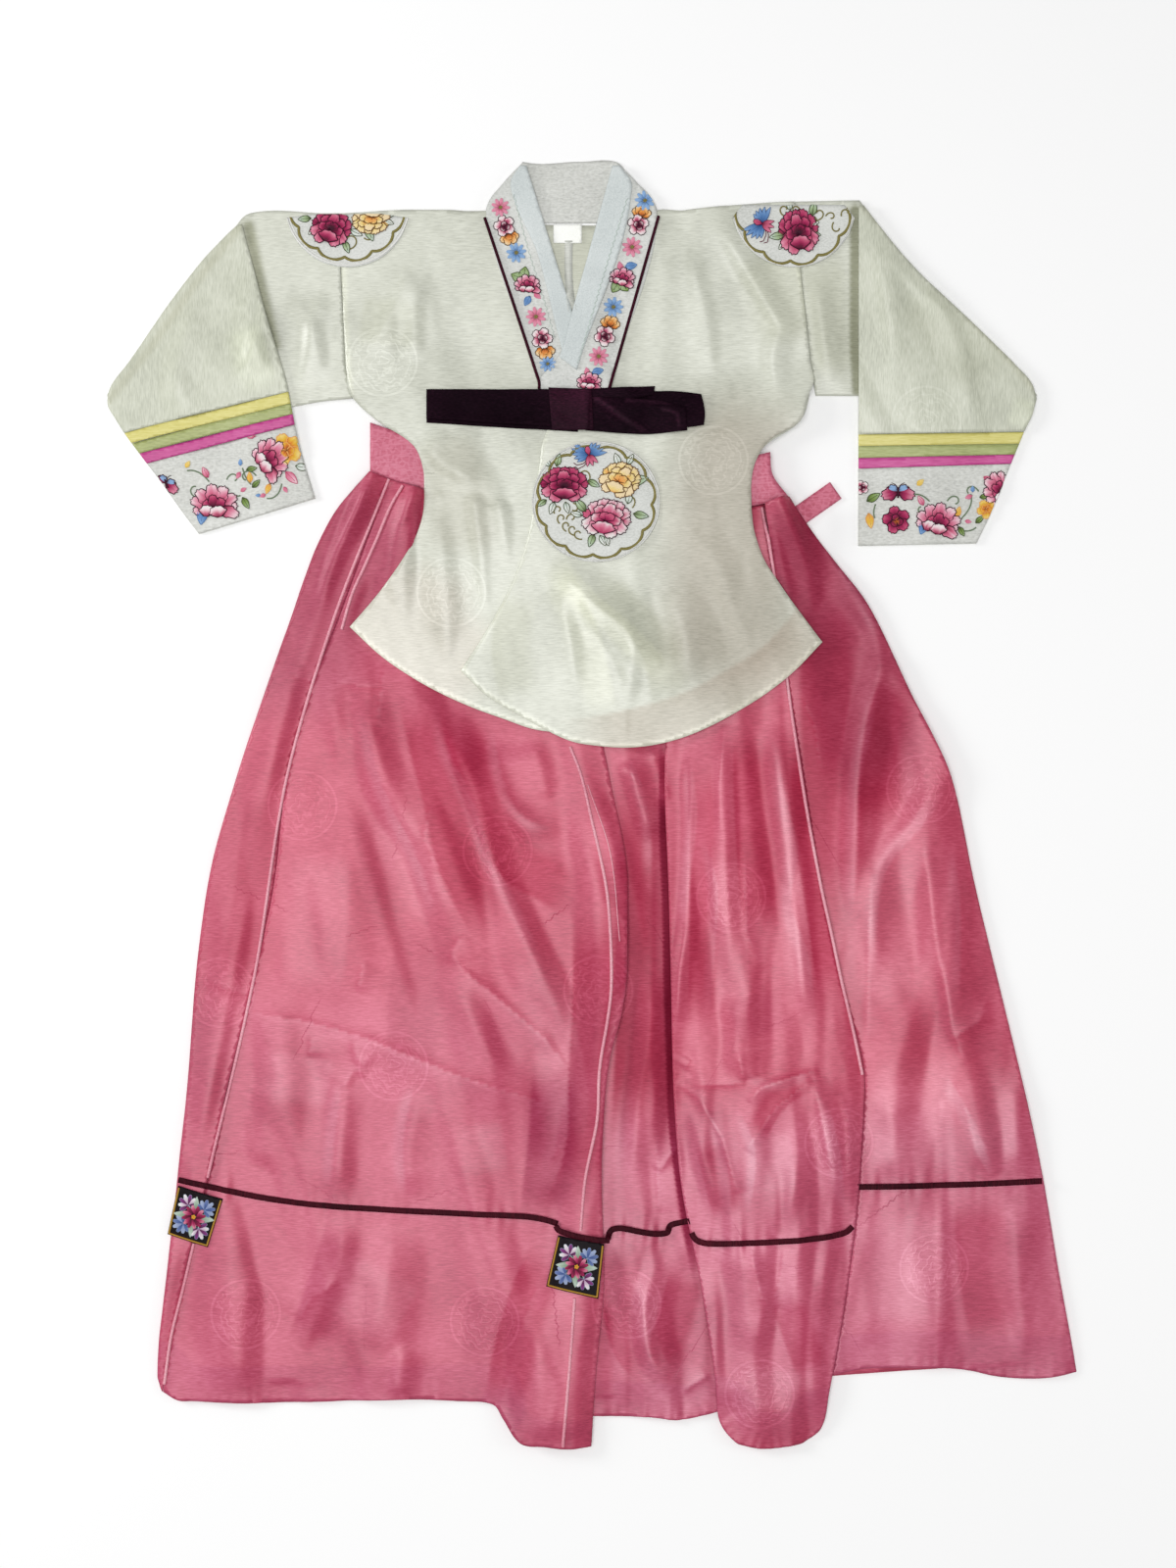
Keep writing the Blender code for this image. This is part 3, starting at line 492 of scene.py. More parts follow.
def woven(name, shade, colour, light, slub=(140, 1300), slub_depth=0.1, roughness=0.42, metallic=0.0,
          gloss=0.5, motif=0.0, brocade=0.0, toned=True):
    """Woven satin: slub across the cloth, a tone from its sheet that holds painted shade and painted
    highlight as well as the cloth's own bands, and tone-on-tone woven motifs.
    """
    made, shader, node, link = new_finish(name)

    def sums(operation, first, second, third=None):
        added = node("Math", operation=operation)
        for i, value in enumerate((first, second, third)):
            if hasattr(value, "is_linked"):
                link(value, added.inputs[i])
            elif value is not None:
                added.inputs[i].default_value = value
        return added.outputs[0]

    place = node("TexCoord")
    threads = node("Mapping", Scale=(*slub, 250))
    link(place.outputs["Object"], threads.inputs["Vector"])
    streaks = node("TexNoise", Scale=1.0, Detail=3.0)
    link(threads.outputs["Vector"], streaks.inputs["Vector"])
    clouds = node("TexNoise", Scale=14.0, Detail=2.0)
    link(place.outputs["Object"], clouds.inputs["Vector"])
    level = sums("MULTIPLY_ADD", clouds.outputs["Fac"], 0.5, sums("MULTIPLY", streaks.outputs["Fac"], 0.7))
    relief = sums("MULTIPLY", streaks.outputs["Fac"], slub_depth)
    if motif:
        uv = node("UVMap", uv_map="motif")
        radius = node("VectorMath", operation="LENGTH")
        link(uv.outputs["UV"], radius.inputs[0])
        scrolls = node("TexWave", wave_type="RINGS", rings_direction="Z", Scale=1.5, Distortion=11.0,
                       Detail=2.0)
        scrolls.inputs["Detail Scale"].default_value = 2.2
        link(uv.outputs["UV"], scrolls.inputs["Vector"])
        lines = sums("SMOOTH_MAX", sums("SUBTRACT", scrolls.outputs["Fac"], 0.5), 0.0, 0.1)
        inner = sums("LESS_THAN", radius.outputs["Value"], 0.86)
        ring = sums("COMPARE", radius.outputs["Value"], 0.96, 0.035)
        pattern = sums("MULTIPLY_ADD", lines, sums("MULTIPLY", inner, 2.0), ring)
        level = sums("MULTIPLY_ADD", pattern, 0.1 * motif, level)
        relief = sums("MULTIPLY_ADD", pattern, 0.3 * motif, relief)
    if brocade:
        figure = node("TexVoronoi", feature="DISTANCE_TO_EDGE", Scale=210.0)
        link(place.outputs["Object"], figure.inputs["Vector"])
        raised = sums("LESS_THAN", figure.outputs["Distance"], 0.16)
        level = sums("MULTIPLY_ADD", raised, 0.12 * brocade, level)
        relief = sums("MULTIPLY_ADD", raised, 0.5 * brocade, relief)
    ramp = node("ValToRGB")
    stops = ramp.color_ramp.elements
    stops[0].position, stops[0].color = 0.38, (*screen_colour(shade), 1)
    stops[1].position, stops[1].color = 0.86, (*screen_colour(light), 1)
    stops.new(0.6).color = (*screen_colour(colour), 1)
    link(level, ramp.inputs["Fac"])
    if toned:
        tone = node("Attribute", attribute_name="tone")
        tinted = node("Mix", data_type="RGBA", blend_type="MULTIPLY")
        tinted.inputs[MIX_SHARE].default_value = 1.0
        link(ramp.outputs["Color"], tinted.inputs[MIX_FIRST])
        link(tone.outputs["Color"], tinted.inputs[MIX_SECOND])
        link(tinted.outputs[MIX_RESULT], shader.inputs["Base Color"])
        sheen = sums("MULTIPLY_ADD", tone.outputs["Fac"], SHEEN_FALL * gloss, (1 - SHEEN_FALL) * gloss)
        sheen = sums("MAXIMUM", sheen, LEAST_SHEEN * gloss)
        link(sheen, shader.inputs["Specular IOR Level"])  # a shaded stretch loses its sheen
    else:
        link(ramp.outputs["Color"], shader.inputs["Base Color"])
    bump = node("Bump", Strength=0.6, Distance=0.0003)
    link(relief, bump.inputs["Height"])
    link(bump.outputs["Normal"], shader.inputs["Normal"])
    shader.inputs["Roughness"].default_value = roughness
    shader.inputs["Metallic"].default_value = metallic
    shader.inputs["Specular IOR Level"].default_value = gloss
    return made


pink_satin = woven("pink_satin", "a4344f", "bf4762", "d6637e", metallic=0.06, gloss=0.6, roughness=0.43,
                   motif=1.2)
# painted shade for cloth that leans to the right, painted highlight for cloth that leans to the left
PINK_LEAN_SHADE = ((0.93, 0.78, 0.83), (1.04, 1.20, 1.14))
SHADED_PINK = (0.86, 0.64, 0.72)  # painted shade where the cloth turns from the light, deepened further where the cloth lies double
# a light painted shade over broad sloping stretches of the skirt
DIM_SHADE_PINK = (0.92, 0.90, 0.92)
# painted highlight where the cloth faces the light
SHEEN_PINK = (1.06, 1.24, 1.16)
GLINT = (1.05, 1.33, 1.23)  # light along the crest of a sharp fold
SKIRT_ROUNDELS = (
    (-245, -1), (-80, -39), (-315, -159), (-168, -221), (-293, -430), (-91, -437), (278, 13), (117, -78),
    (208, -285), (289, -392), (141, -497), (5, -157), (29, -422),
)
LEFT_SEAM = ((-172, 275), (-219, 156), (-259, 19), (-286, -146), (-325, -315), (-362, -490))
RIBBON_COURSE = (
    ((-350, -317), (-265, -334), (-170, -343), (-59, -348), (-29, -353)),
    ((-29, -359), (13, -366)),
    ((13, -359), (32, -360), (64, -363)),
    ((84, -367), (107, -370), (151, -369), (188, -364), (219, -359)),
    ((226, -322), (320, -320), (380, -318)),
)
HEM_COURSE = {
    "left": ((-369, -485), (-348, -504), (-228, -506), (-87, -505), (-20, -515)),
    "pleat": ((-77, -514), (-70, -532), (-37, -540), (0, -541)),
    "centre": ((-20, -519), (46, -520), (88, -522), (104, -514), (204, -493)),
    "fold": ((106, -514), (117, -532), (146, -544), (175, -540), (195, -524)),
    "right": ((200, -482), (287, -476), (337, -481), (406, -481)),
}
HEM_TONE = (0.94, 0.93, 0.98)
WAIST_SHADES = (  # painted shade: the gathered cloth beside the jacket shades itself
    ((0.72, 0.76, 0.76), 24, 40, ((167, 291), (187, 217), (210, 150), (229, 76), (249, -16))),
    ((0.86, 0.94, 0.95), 26, 40, ((-153, 291), (-215, 192), (-244, 134), (-261, 51))),
)
# painted sheen: the lower skirt painted paler, which through its tone also raises the sheen
LOW_SHEEN = (((1.0, 1.24, 1.24), 90, 80, ((793, -398), (295, -389), (-203, -406))),)
LEFT_LOW_SHEEN = ((1.0, 1.12, 1.12), 150, 90, ((577, -356), (-170, -356), (-917, -356)))


def hem_tones(name):
    """The band of the turned-up hem of one gore, as rows for tones_at."""
    return ((HEM_TONE, 31, 1.5, HEM_COURSE[name]),)


def hem_puckers(name):
    """The puckers along the hem of one gore and under the ribbon, as rows for puckers_at."""
    return ((0.7, 9, 9, 2.0, HEM_COURSE[name]), (0.8, 10, 10, 4.0, RIBBON_COURSE[0]),
            (0.8, 10, 10, 6.0, RIBBON_COURSE[3]), (0.8, 10, 10, 8.0, RIBBON_COURSE[4]))


def lay_gore(name, nodes, rests_on, **details):
    """One gore of the front of the skirt, in the pink satin with its woven roundels, with painted shade and
    highlight by how it leans.
    """
    lay_cloth(name, nodes, pink_satin, "skirt_cloth", rests_on, lean_shade=PINK_LEAN_SHADE, motifs=SKIRT_ROUNDELS,
              **details)


lay_cloth("skirt_back_sheet", "skirt_back", pink_satin, "skirt_cloth", ["floor"], grain=HIDDEN_GRAIN, even=2,
          crumple=((60, 200, 1.0, 0.0, 1.5),))

# ---------------------------------------------------------------------------------------------
# Tie strap: a narrow doubled band of pink brocade that comes out from behind the waistband. It
# is down before the gores, which lie over its inner end.
pink_brocade = woven("pink_brocade", "a94058", "c25d76", "d27c92", metallic=0.05, roughness=0.5, brocade=1.0)
lay_cloth("tie_strap_band", "tie_strap", pink_brocade, "band_cloth", ["skirt_back_sheet", "floor"], thick=1.2,
          grain=2.5, even=4, puckers=((0.25, 6, 7, 1.0, ((150, 227), (176, 245), (205, 266))),))

# ---------------------------------------------------------------------------------------------
# Front gores of the skirt: the left side, the middle, the right side, then the left gore, which
# laps over the middle seam as a soft box pleat, and the broad fold that laps over the right one.
GATHER_TONE = (0.90, 0.86, 0.89)  # dense gathers shade one another
LEFT_SIDE_GATHERS = gathers(4, ((-190, 281), (-173, 275)), ((-261, 100), (-228, 150)), 4.0, 8, 11)
lay_gore(
    "skirt_left_side_gore", "skirt_left_side", ["skirt_back_sheet"],
    folds=LEFT_SIDE_GATHERS + [
        (3.6, 12, 0.1, 0.4, ((-186, 271), (-207, 236), (-220, 204), (-232, 150))),
        (3.0, 20, 0.3, 0.4, ((-215, 192), (-238, 134), (-256, 67), (-284, -24))),
        (3.0, 19, ((-284, -49), (-304, -140), (-323, -248), (-339, -310))),
        (2.3, 18, ((-346, -356), (-356, -422), (-362, -481))),
    ],
    creases=((1.1, 4, ((-258, 110), (-232, 104))), (0.8, 4, ((-327, -149), (-284, -164)))),
    crumple=((34, 140, 2.0, 0.2, 3.1),), pressed=(LEFT_SEAM,), puckers=hem_puckers("left"),
    tones=hem_tones("left") + WAIST_SHADES + (
        LEFT_LOW_SHEEN,
        (GATHER_TONE, 20, 60, ((-174, 266), (-211, 200), (-236, 134))),
        # painted shade on the flanks of the folds
        ((0.90, 0.82, 0.86), 14, 20, ((-269, 17), (-281, -82), (-293, -157))),
        (DIM_SHADE_PINK, 10, 16, ((-294, 26), (-323, -66), (-340, -198), (-352, -306))),
    ),
)
lay_gore(
    "skirt_centre_gore", "skirt_centre", ["skirt_back_sheet"], grain=2.2,
    folds=[
        (4.2, 12, 0.2, 0.3, ((29, 38), (38, 9), (49, -32))),
        (3.4, 10, 0.2, 0.3, ((49, 51), (56, 26), (66, -7))),
        (4.2, 16, 0.3, 0.4, ((46, -115), (49, -182), (39, -248), (34, -315), (31, -356))),
        (3.1, 15, ((53, -132), (56, -215), (48, -298))),
        (4.4, 15, ((56, -373), (44, -431), (49, -467), (79, -500))),
        (2.5, 15, ((26, -389), (29, -456), (29, -514))),
        (3.1, 13, 0.2, 0.3, ((69, -298), (73, -348), (84, -398))),
    ],
    creases=(
        (1.6, 4, ((56, -310), (71, -291), (79, -301))), (1.2, 4, ((53, -273), (56, -344))),
        (1.4, 4, ((28, 32), (43, 12), (48, -24))), (1.2, 4, ((50, 38), (66, 44), (69, 17))),
        (1.2, 4, ((76, -497), (98, -482))),
    ),
    crumple=((20, 64, 1.5, 0.0, 4.4),),
    puckers=hem_puckers("centre") + ((0.7, 9, 9, 3.0, RIBBON_COURSE[2]),),
    tones=hem_tones("centre") + LOW_SHEEN + (
        # painted shadow along the edge of the broad fold that laps over this gore; the rows after it are
        # painted shade and painted highlight of the folds
        ((0.50, 0.26, 0.38), 1.2, 5.5,
         ((60, 100), (60, -16), (63, -90), (64, -165), (66, -223), (69, -281), (77, -339), (84, -381),
          (91, -414), (96, -439))),
        ((0.80, 0.66, 0.72), 12, 20, ((71, 38), (71, -66), (71, -232), (74, -306))),
        ((0.74, 0.54, 0.60), 9, 16, ((31, 42), (33, -24), (38, -99), (36, -190), (29, -298))),
        (SHADED_PINK, 11, 9, ((81, -391), (71, -431), (63, -457), (71, -479))),
        (SHADED_PINK, 8, 12, ((16, -366), (20, -414), (31, -461), (53, -484))),
        (SHADED_PINK, 7, 9, ((5, -414), (5, -514))),
        (SHEEN_PINK, 7, 9, ((49, -398), (43, -432), (48, -464), (66, -492))),
        (SHEEN_PINK, 10, 14, ((38, -499), (71, -504), (94, -474))),
        (SHEEN_PINK, 5, 9, ((49, 26), (53, -66), (56, -115), (53, -190))),
        (GLINT, 0.6, 6, ((29, 41), (39, 12), (46, -24), (47, -66))),
    ),
)
RIGHT_GATHERS = gathers(9, ((142, 256), (162, 263)), ((172, 100), (245, 100)), 4.5, 8, 23)
lay_gore(
    "skirt_right_side_gore", "skirt_right_side", ["skirt_back_sheet", "tie_strap_band"], grain=2.7,
    folds=RIGHT_GATHERS + [
        (5.0, 16, ((194, 217), (222, 175), (244, 129), (230, 67), (223, -7), (220, -115))),
        (3.5, 18, ((248, 135), (260, 100), (295, 51), (308, -7))),
        (3.8, 20, ((299, 26), (266, -20), (242, -57), (239, -149))),
        (3.1, 20, ((277, -24), (287, -90), (300, -186))),
        (2.9, 20, ((308, -32), (303, -115), (302, -182), (316, -215))),
        (2.9, 22, ((245, -240), (255, -281), (249, -319))),
        (2.7, 18, ((316, -211), (328, -273), (338, -315))),
        (2.5, 15, ((356, -232), (360, -315))),
        (2.5, 20, ((295, -327), (297, -398), (292, -472))),
        (2.9, 18, ((356, -327), (360, -398), (368, -476))),
        (2.9, 22, ((235, -331), (229, -398), (237, -472))),
    ],
    creases=(
        (1.8, 5, ((235, -56), (233, -115), (232, -199))), (1.8, 4, ((295, -132), (303, -193), (316, -219))),
        (1.5, 4, ((303, -198), (328, -182), (333, -165))), (1.4, 4, ((277, -24), (288, -107), (302, -190))),
        (1.4, 4, ((293, -240), (294, -398), (293, -476))), (1.3, 4, ((310, -240), (325, -298), (338, -315))),
        (1.2, 4, ((174, 100), (187, 67), (194, 26))),
    ),
    crumple=((40, 140, 2.4, -0.2, 9.3), (20, 70, 0.9, -0.15, 1.2)),
    puckers=hem_puckers("right"),
    tones=hem_tones("right") + WAIST_SHADES + LOW_SHEEN + (
        (GATHER_TONE, 24, 70, ((154, 258), (187, 183), (204, 117))),
        # painted shade on the flanks of the folds and painted highlight on their crests
        (SHADED_PINK, 12, 22, ((200, 183), (197, 100), (202, -7), (209, -99))),
        (SHADED_PINK, 10, 18, ((258, 109), (245, 51), (239, -24))),
        (DIM_SHADE_PINK, 20, 24, ((270, 67), (320, -66), (353, -215), (378, -339), (391, -472))),
        (SHEEN_PINK, 16, 20, ((266, -16), (245, -82), (245, -182))),
        (SHEEN_PINK, 12, 16, ((341, -215), (341, -306))),
        (SHADED_PINK, 14, 18, ((327, -327), (332, -398), (342, -456))),
        (SHEEN_PINK, 24, 20, ((269, -207), (272, -265), (275, -323))),
        (SHEEN_PINK, 20, 26, ((262, -339), (266, -447))),
        (GLINT, 0.8, 8, ((239, 109), (232, 67), (222, 21), (219, -45), (215, -107))),
        (GLINT, 0.8, 8, ((297, 17), (276, -14), (247, -49), (237, -83), (235, -140))),
        (GLINT, 0.6, 6, ((200, 217), (225, 175), (242, 138))),
        (GLINT, 0.6, 7, ((302, -32), (307, -99), (305, -173))),
        (GLINT, 0.8, 7, ((293, -225), (320, -273), (337, -315))),
    ),
)
LEFT_GATHERS = gathers(9, ((-160, 271), (-70, 261)), ((-186, 109), (-37, 51)), 4.5, 9, 5)
lay_gore(
    "skirt_left_gore", ["skirt_left", "skirt_pleat"], ["skirt_back_sheet", "skirt_centre_gore"],
    outline=joined_outline(upper_face("skirt_left")[1], upper_face("skirt_pleat")[1]),
    folds=LEFT_GATHERS + [
        (4.2, 9, 0.05, 0.3, ((-164, 266), (-186, 236), (-189, 211), (-204, 178), (-215, 142))),
        (4.4, 9, 0.05, 0.3, ((-146, 266), (-164, 236), (-169, 207), (-171, 167))),
        (4.4, 26, 0.3, 0.4, ((-188, 150), (-188, 84), (-180, 26), (-160, -49))),
        (4.6, 24, ((-198, 100), (-171, 17), (-138, -49), (-118, -115))),
        (6.4, 26, 0.2, 0.3, ((-132, 88), (-103, 17), (-92, -24), (-70, -86), (-40, -149), (-19, -223))),
        (4.2, 22, ((-85, 57), (-77, 13), (-55, -14), (-20, -24))),
        (2.9, 16, ((-54, 55), (-44, 26), (-37, 1))),
        (3.2, 30, 0.3, 0.4, ((-244, -24), (-228, -107), (-234, -182))),
        (3.6, 28, 0.3, 0.4, ((-120, -136), (-102, -182), (-77, -223), (-49, -248))),
        (3.2, 24, 0.2, 0.3, ((-17, -240), (-22, -290), (-39, -339))),
        (2.7, 25, ((-271, -232), (-279, -273), (-284, -315))),
        (3.2, 20, ((-206, -223), (-211, -273), (-215, -335))),
        (3.0, 20, ((-143, -240), (-155, -290), (-153, -335))),
        (3.4, 18, 0.2, 0.3, ((-211, -348), (-215, -389), (-234, -431), (-253, -481))),
        (2.6, 22, 0.2, 0.3, ((-168, -356), (-173, -398), (-188, -464))),
        (3.3, 26, ((-288, -389), (-293, -439), (-294, -497))),
        (2.6, 12, 0.3, 0.2, ((-160, -456), (-163, -481), (-166, -500))),
        (3.6, 26, 0.3, 0.15, ((-40, -398), (-47, -447), (-44, -497), (-40, -539))),
        (2.9, 9, 0.2, 0.3, ((1, 17), (21, -41), (27, -107), (21, -190))),
        (2.7, 9, ((20, -198), (7, -273), (1, -352))),
        (2.2, 9, 0.3, 0.2, ((-5, -422), (-9, -481), (-10, -539))),
    ],
    creases=(
        (1.6, 5, ((-215, 102), (-178, 99))), (1.5, 3, ((-176, 117), (-182, 67))),
        (1.8, 6, ((-37, -253), (-70, -243), (-128, -223), (-194, -196), (-244, -183), (-294, -175))),
        (1.4, 4, ((-203, -198), (-200, -213), (-193, -223))),
        (1.3, 4, ((-210, -240), (-201, -225), (-190, -228))),
        (1.8, 5, ((-19, -225), (-40, -198), (-78, -165), (-110, -139), (-118, -120))),
        (1.5, 4, ((-108, -109), (-120, -124), (-118, -135))),
        (1.4, 4, ((-137, -1), (-142, -29), (-130, -57))), (1.2, 3, ((-193, -132), (-198, -157))),
        (1.3, 4, ((-238, -194), (-239, -213))), (1.2, 3, ((-35, -302), (-17, -273))),
        (1.3, 4, ((-249, -435), (-238, -418), (-215, -402))),
        (1.2, 4, ((-44, -398), (-62, -447), (-77, -505))), (1.2, 3, ((16, -82), (30, -109), (26, -177))),
    ),
    crumple=((44, 130, 2.6, 0.12, 7.7), (20, 66, 0.9, 0.1, 2.2)),
    pressed=(LEFT_SEAM,), puckers=hem_puckers("left") + hem_puckers("pleat")[:1],
    tones=(
        (HEM_TONE, 31, 1.5, HEM_COURSE["left"][:4]),
        (HEM_TONE, 20, 3, HEM_COURSE["pleat"]),
        (GATHER_TONE, 20, 60, ((-170, 266), (-186, 167), (-145, 100), (-29, 34))),
        WAIST_SHADES[1],
        LEFT_LOW_SHEEN,
        # painted shade on the flanks of the folds and painted highlight on their crests
        ((0.78, 0.62, 0.70), 6, 9, ((23, -16), (29, -66), (29, -124), (23, -182))),
        (SHADED_PINK, 13, 12, ((-149, 100), (-137, 51), (-124, 1), (-115, -41), (-97, -82), (-80, -111))),
        (SHADED_PINK, 12, 14, ((-118, 84), (-100, 34), (-83, -12), (-63, -49), (-29, -70), (-7, -90))),
        ((0.74, 0.52, 0.60), 13, 8, ((-2, -82), (0, -149), (-4, -232), (-6, -290), (-24, -344))),
        (SHADED_PINK, 12, 12, ((-35, -373), (-55, -422), (-67, -464), (-75, -514))),
        (DIM_SHADE_PINK, 16, 18, ((-78, -406), (-90, -481))),
        (DIM_SHADE_PINK, 8, 14, ((-196, 1), (-183, -41), (-175, -90))),
        (DIM_SHADE_PINK, 12, 18, ((-143, -90), (-153, -173), (-150, -240))),
        (DIM_SHADE_PINK, 8, 10, ((-45, -240), (-48, -306))),
        (SHEEN_PINK, 14, 24, ((-228, -32), (-232, -115), (-236, -165))),
        ((0.95, 0.89, 0.93), 16, 22, ((-112, -165), (-83, -240), (-49, -306))),
        ((0.86, 0.74, 0.82), 12, 14, ((-206, -352), (-218, -393), (-234, -439), (-243, -464))),
        (SHEEN_PINK, 10, 16, ((-173, 1), (-153, -49), (-127, -103))),
        ((0.74, 0.64, 0.72), 13, 14, ((-32, -215), (-35, -281), (-44, -356))),
        (SHEEN_PINK, 12, 14, ((-54, -115), (-37, -173), (-22, -240), (-25, -290))),
        (SHEEN_PINK, 16, 24, ((-244, -207), (-253, -256))),
        (SHEEN_PINK, 10, 16, ((-95, -265), (-87, -315))),
        (SHEEN_PINK, 20, 24, ((-170, -389), (-203, -447))),
        (GLINT, 0.8, 8, ((-136, 100), (-127, 51), (-105, 1), (-87, -49), (-57, -107), (-37, -157))),
        (GLINT, 0.6, 7, ((-88, 67), (-78, 17), (-59, -14), (-29, -24))),
        (GLINT, 0.6, 7, ((-198, 84), (-181, 17), (-150, -49), (-132, -99))),
        (GLINT, 0.6, 7, ((-153, -232), (-163, -281), (-161, -335))),
        (GLINT, 0.6, 7, ((-215, -232), (-221, -281), (-225, -327))),
    ),
)
lay_gore(
    "skirt_broad_fold", "skirt_fold", ["skirt_centre_gore", "skirt_right_side_gore"], grain=2.2,
    folds=[
        (4.6, 12, 0.2, 0.3, ((82, 59), (83, -24), (79, -107), (73, -149), (69, -219))),
        (3.8, 15, 0.2, 0.3, ((108, 67), (111, -7), (114, -107), (117, -157))),
        (4.2, 15, 0.2, 0.3, ((150, 71), (159, -7), (167, -66), (174, -115), (181, -198))),
        (3.8, 13, 0.2, 0.3, ((167, 88), (181, 1), (194, -74), (209, -149), (222, -215))),
        (3.5, 18, ((117, -157), (121, -198), (116, -232))),
        (3.4, 16, ((189, -225), (200, -281), (210, -339))),
        (3.1, 15, ((167, -240), (172, -298), (162, -360))),
        (3.6, 18, ((76, -240), (89, -281), (111, -348))),
        (3.1, 18, 0.2, 0.3, ((132, -373), (142, -422), (136, -464))),
        (3.6, 20, 0.3, 0.2, ((89, -389), (99, -447), (117, -514))),
        (3.2, 18, 0.3, 0.2, ((189, -381), (184, -447), (186, -514))),
    ],
    creases=(
        (2.2, 4, ((190, -224), (162, -231), (142, -238), (131, -250))),
        (1.9, 5, ((184, -232), (154, -255), (129, -291))), (1.5, 4, ((122, -208), (127, -232))),
        (2.0, 4, ((71, -235), (89, -247), (109, -281), (122, -327))), (1.5, 4, ((78, -237), (129, -235))),
        (1.5, 4, ((78, -223), (83, -215))), (1.7, 4, ((186, -232), (194, -273), (200, -306))),
        (1.5, 4, ((208, -245), (215, -265), (217, -315))), (1.5, 4, ((132, -371), (142, -414), (154, -426))),
        (1.5, 4, ((162, -374), (156, -406), (151, -422))), (1.6, 3, ((111, 67), (106, 17), (107, -24))),
        (1.6, 3, ((78, -103), (72, -136), (71, -182))), (1.4, 3, ((100, -32), (103, -107))),
        (1.3, 4, ((127, -32), (129, -107), (142, -140))),
    ),
    crumple=((26, 110, 2.1, -0.12, 6.5), (14, 52, 0.8, -0.1, 8.2)),
    puckers=hem_puckers("fold"),
    tones=hem_tones("fold") + LOW_SHEEN + (
        # painted shade on the flanks of the folds and painted highlight on their crests
        ((0.90, 0.80, 0.84), 5, 12, ((64, 51), (66, -232), (78, -315))),
        (SHADED_PINK, 8, 8, ((90, 51), (93, -7), (93, -115), (91, -198))),
        (SHADED_PINK, 15, 8, ((136, 67), (139, -24), (146, -115))),
        ((0.80, 0.56, 0.64), 9, 8, ((169, 67), (181, -16), (194, -99), (205, -182))),
        (DIM_SHADE_PINK, 14, 18, ((133, -157), (146, -198))),
        (SHADED_PINK, 6, 8, ((136, -281), (156, -248), (181, -232))),
        (SHADED_PINK, 8, 10, ((98, -281), (114, -348))),
        (SHADED_PINK, 8, 12, ((162, -414), (186, -481))),
        (SHEEN_PINK, 10, 10, ((114, -32), (116, -107), (119, -182))),
        (SHEEN_PINK, 7, 8, ((153, 59), (161, -16), (172, -99), (177, -182))),
        (SHEEN_PINK, 12, 16, ((146, -273), (154, -331))),
        (SHEEN_PINK, 14, 20, ((154, -472), (150, -514))),
        (GLINT, 0.8, 7, ((80, 42), (84, -10), (77, -76), (74, -110))),
        (GLINT, 0.6, 6, ((90, -24), (102, -68), (101, -110), (96, -182))),
        (GLINT, 0.8, 8, ((151, 63), (159, 2), (169, -37), (163, -83), (178, -129), (186, -191))),
        (GLINT, 0.8, 6, ((126, -227), (154, -237), (184, -227))),
        (GLINT, 0.6, 6, ((119, -256), (134, -291), (129, -348))),
        (GLINT, 0.8, 8, ((194, -248), (205, -298), (210, -348))),
        (GLINT, 0.6, 7, ((96, -256), (109, -298), (114, -348))),
    ),
)

# ---------------------------------------------------------------------------------------------
# Skirt seams: the seam allowances show through the thin cloth as pale welts, and each is a flat
# pale cord that is pressed on the seam. Two of them pass under the square patches.
CORD_STEP = 3.0
CORD_EVENED = 5  # points over which a cord evens out what it lies on
SEAM_COURSES = {
    "skirt_seam_left": LEFT_SEAM[:5],
    "skirt_seam_left_hem": ((-337, -371), (-347, -413), (-356, -449), (-362, -490)),
    "skirt_seam_left_inner": ((-160, 269), (-170, 252), (-183, 222), (-193, 200), (-203, 178), (-212, 148)),
    "skirt_seam_middle": (
        (-19, 49), (-10, 26), (-2, -7), (11, -66), (15, -107), (16, -149), (14, -173), (6, -223), (4, -265),
        (-6, -315), (-10, -359),
    ),
    "skirt_seam_middle_hem": ((-15, -416), (-19, -470), (-25, -541)),
    "skirt_seam_right": (
        (143, 251), (155, 183), (165, 100), (177, 17), (192, -66), (201, -107), (210, -149), (220, -190),
        (228, -228),
    ),
}


def round_cord(name, line, radius, finish, nodes=(), squash=0.6, lift=0.0):
    """A thin cord along a line on the cloth, a little flattened."""
    route = curve_through(line, CORD_STEP)
    beside_it = [cloth_under(route + np.array(shift)) for shift in ((-radius, 0), (0, 0), (radius, 0))]
    height = np.pad(np.max(beside_it, axis=0), CORD_EVENED // 2, mode="edge")
    height = np.convolve(height, np.full(CORD_EVENED, 1 / CORD_EVENED), mode="valid")
    height += radius * squash + lift
    bpy.ops.object.select_all(action="DESELECT")
    curve = bpy.data.curves.new(name, "CURVE")
    curve.dimensions = "3D"
    curve.bevel_depth = radius * MM
    curve.bevel_resolution = 1
    curve.use_fill_caps = True
    spline = curve.splines.new("POLY")
    spline.points.add(len(route) - 1)
    for point, (x, y), z in zip(spline.points, route, height):
        point.co = (x * MM, y * MM, z * MM, 1)
    cord = bpy.data.objects.new(name, curve)
    bpy.context.scene.collection.objects.link(cord)
    cord.select_set(True)
    bpy.context.view_layer.objects.active = cord
    bpy.ops.object.convert(target="MESH")
    cord.data.shade_smooth()
    cord.data.materials.clear()
    cord.data.materials.append(finish)
    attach(cord, "root")
    if nodes:
        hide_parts(*nodes)


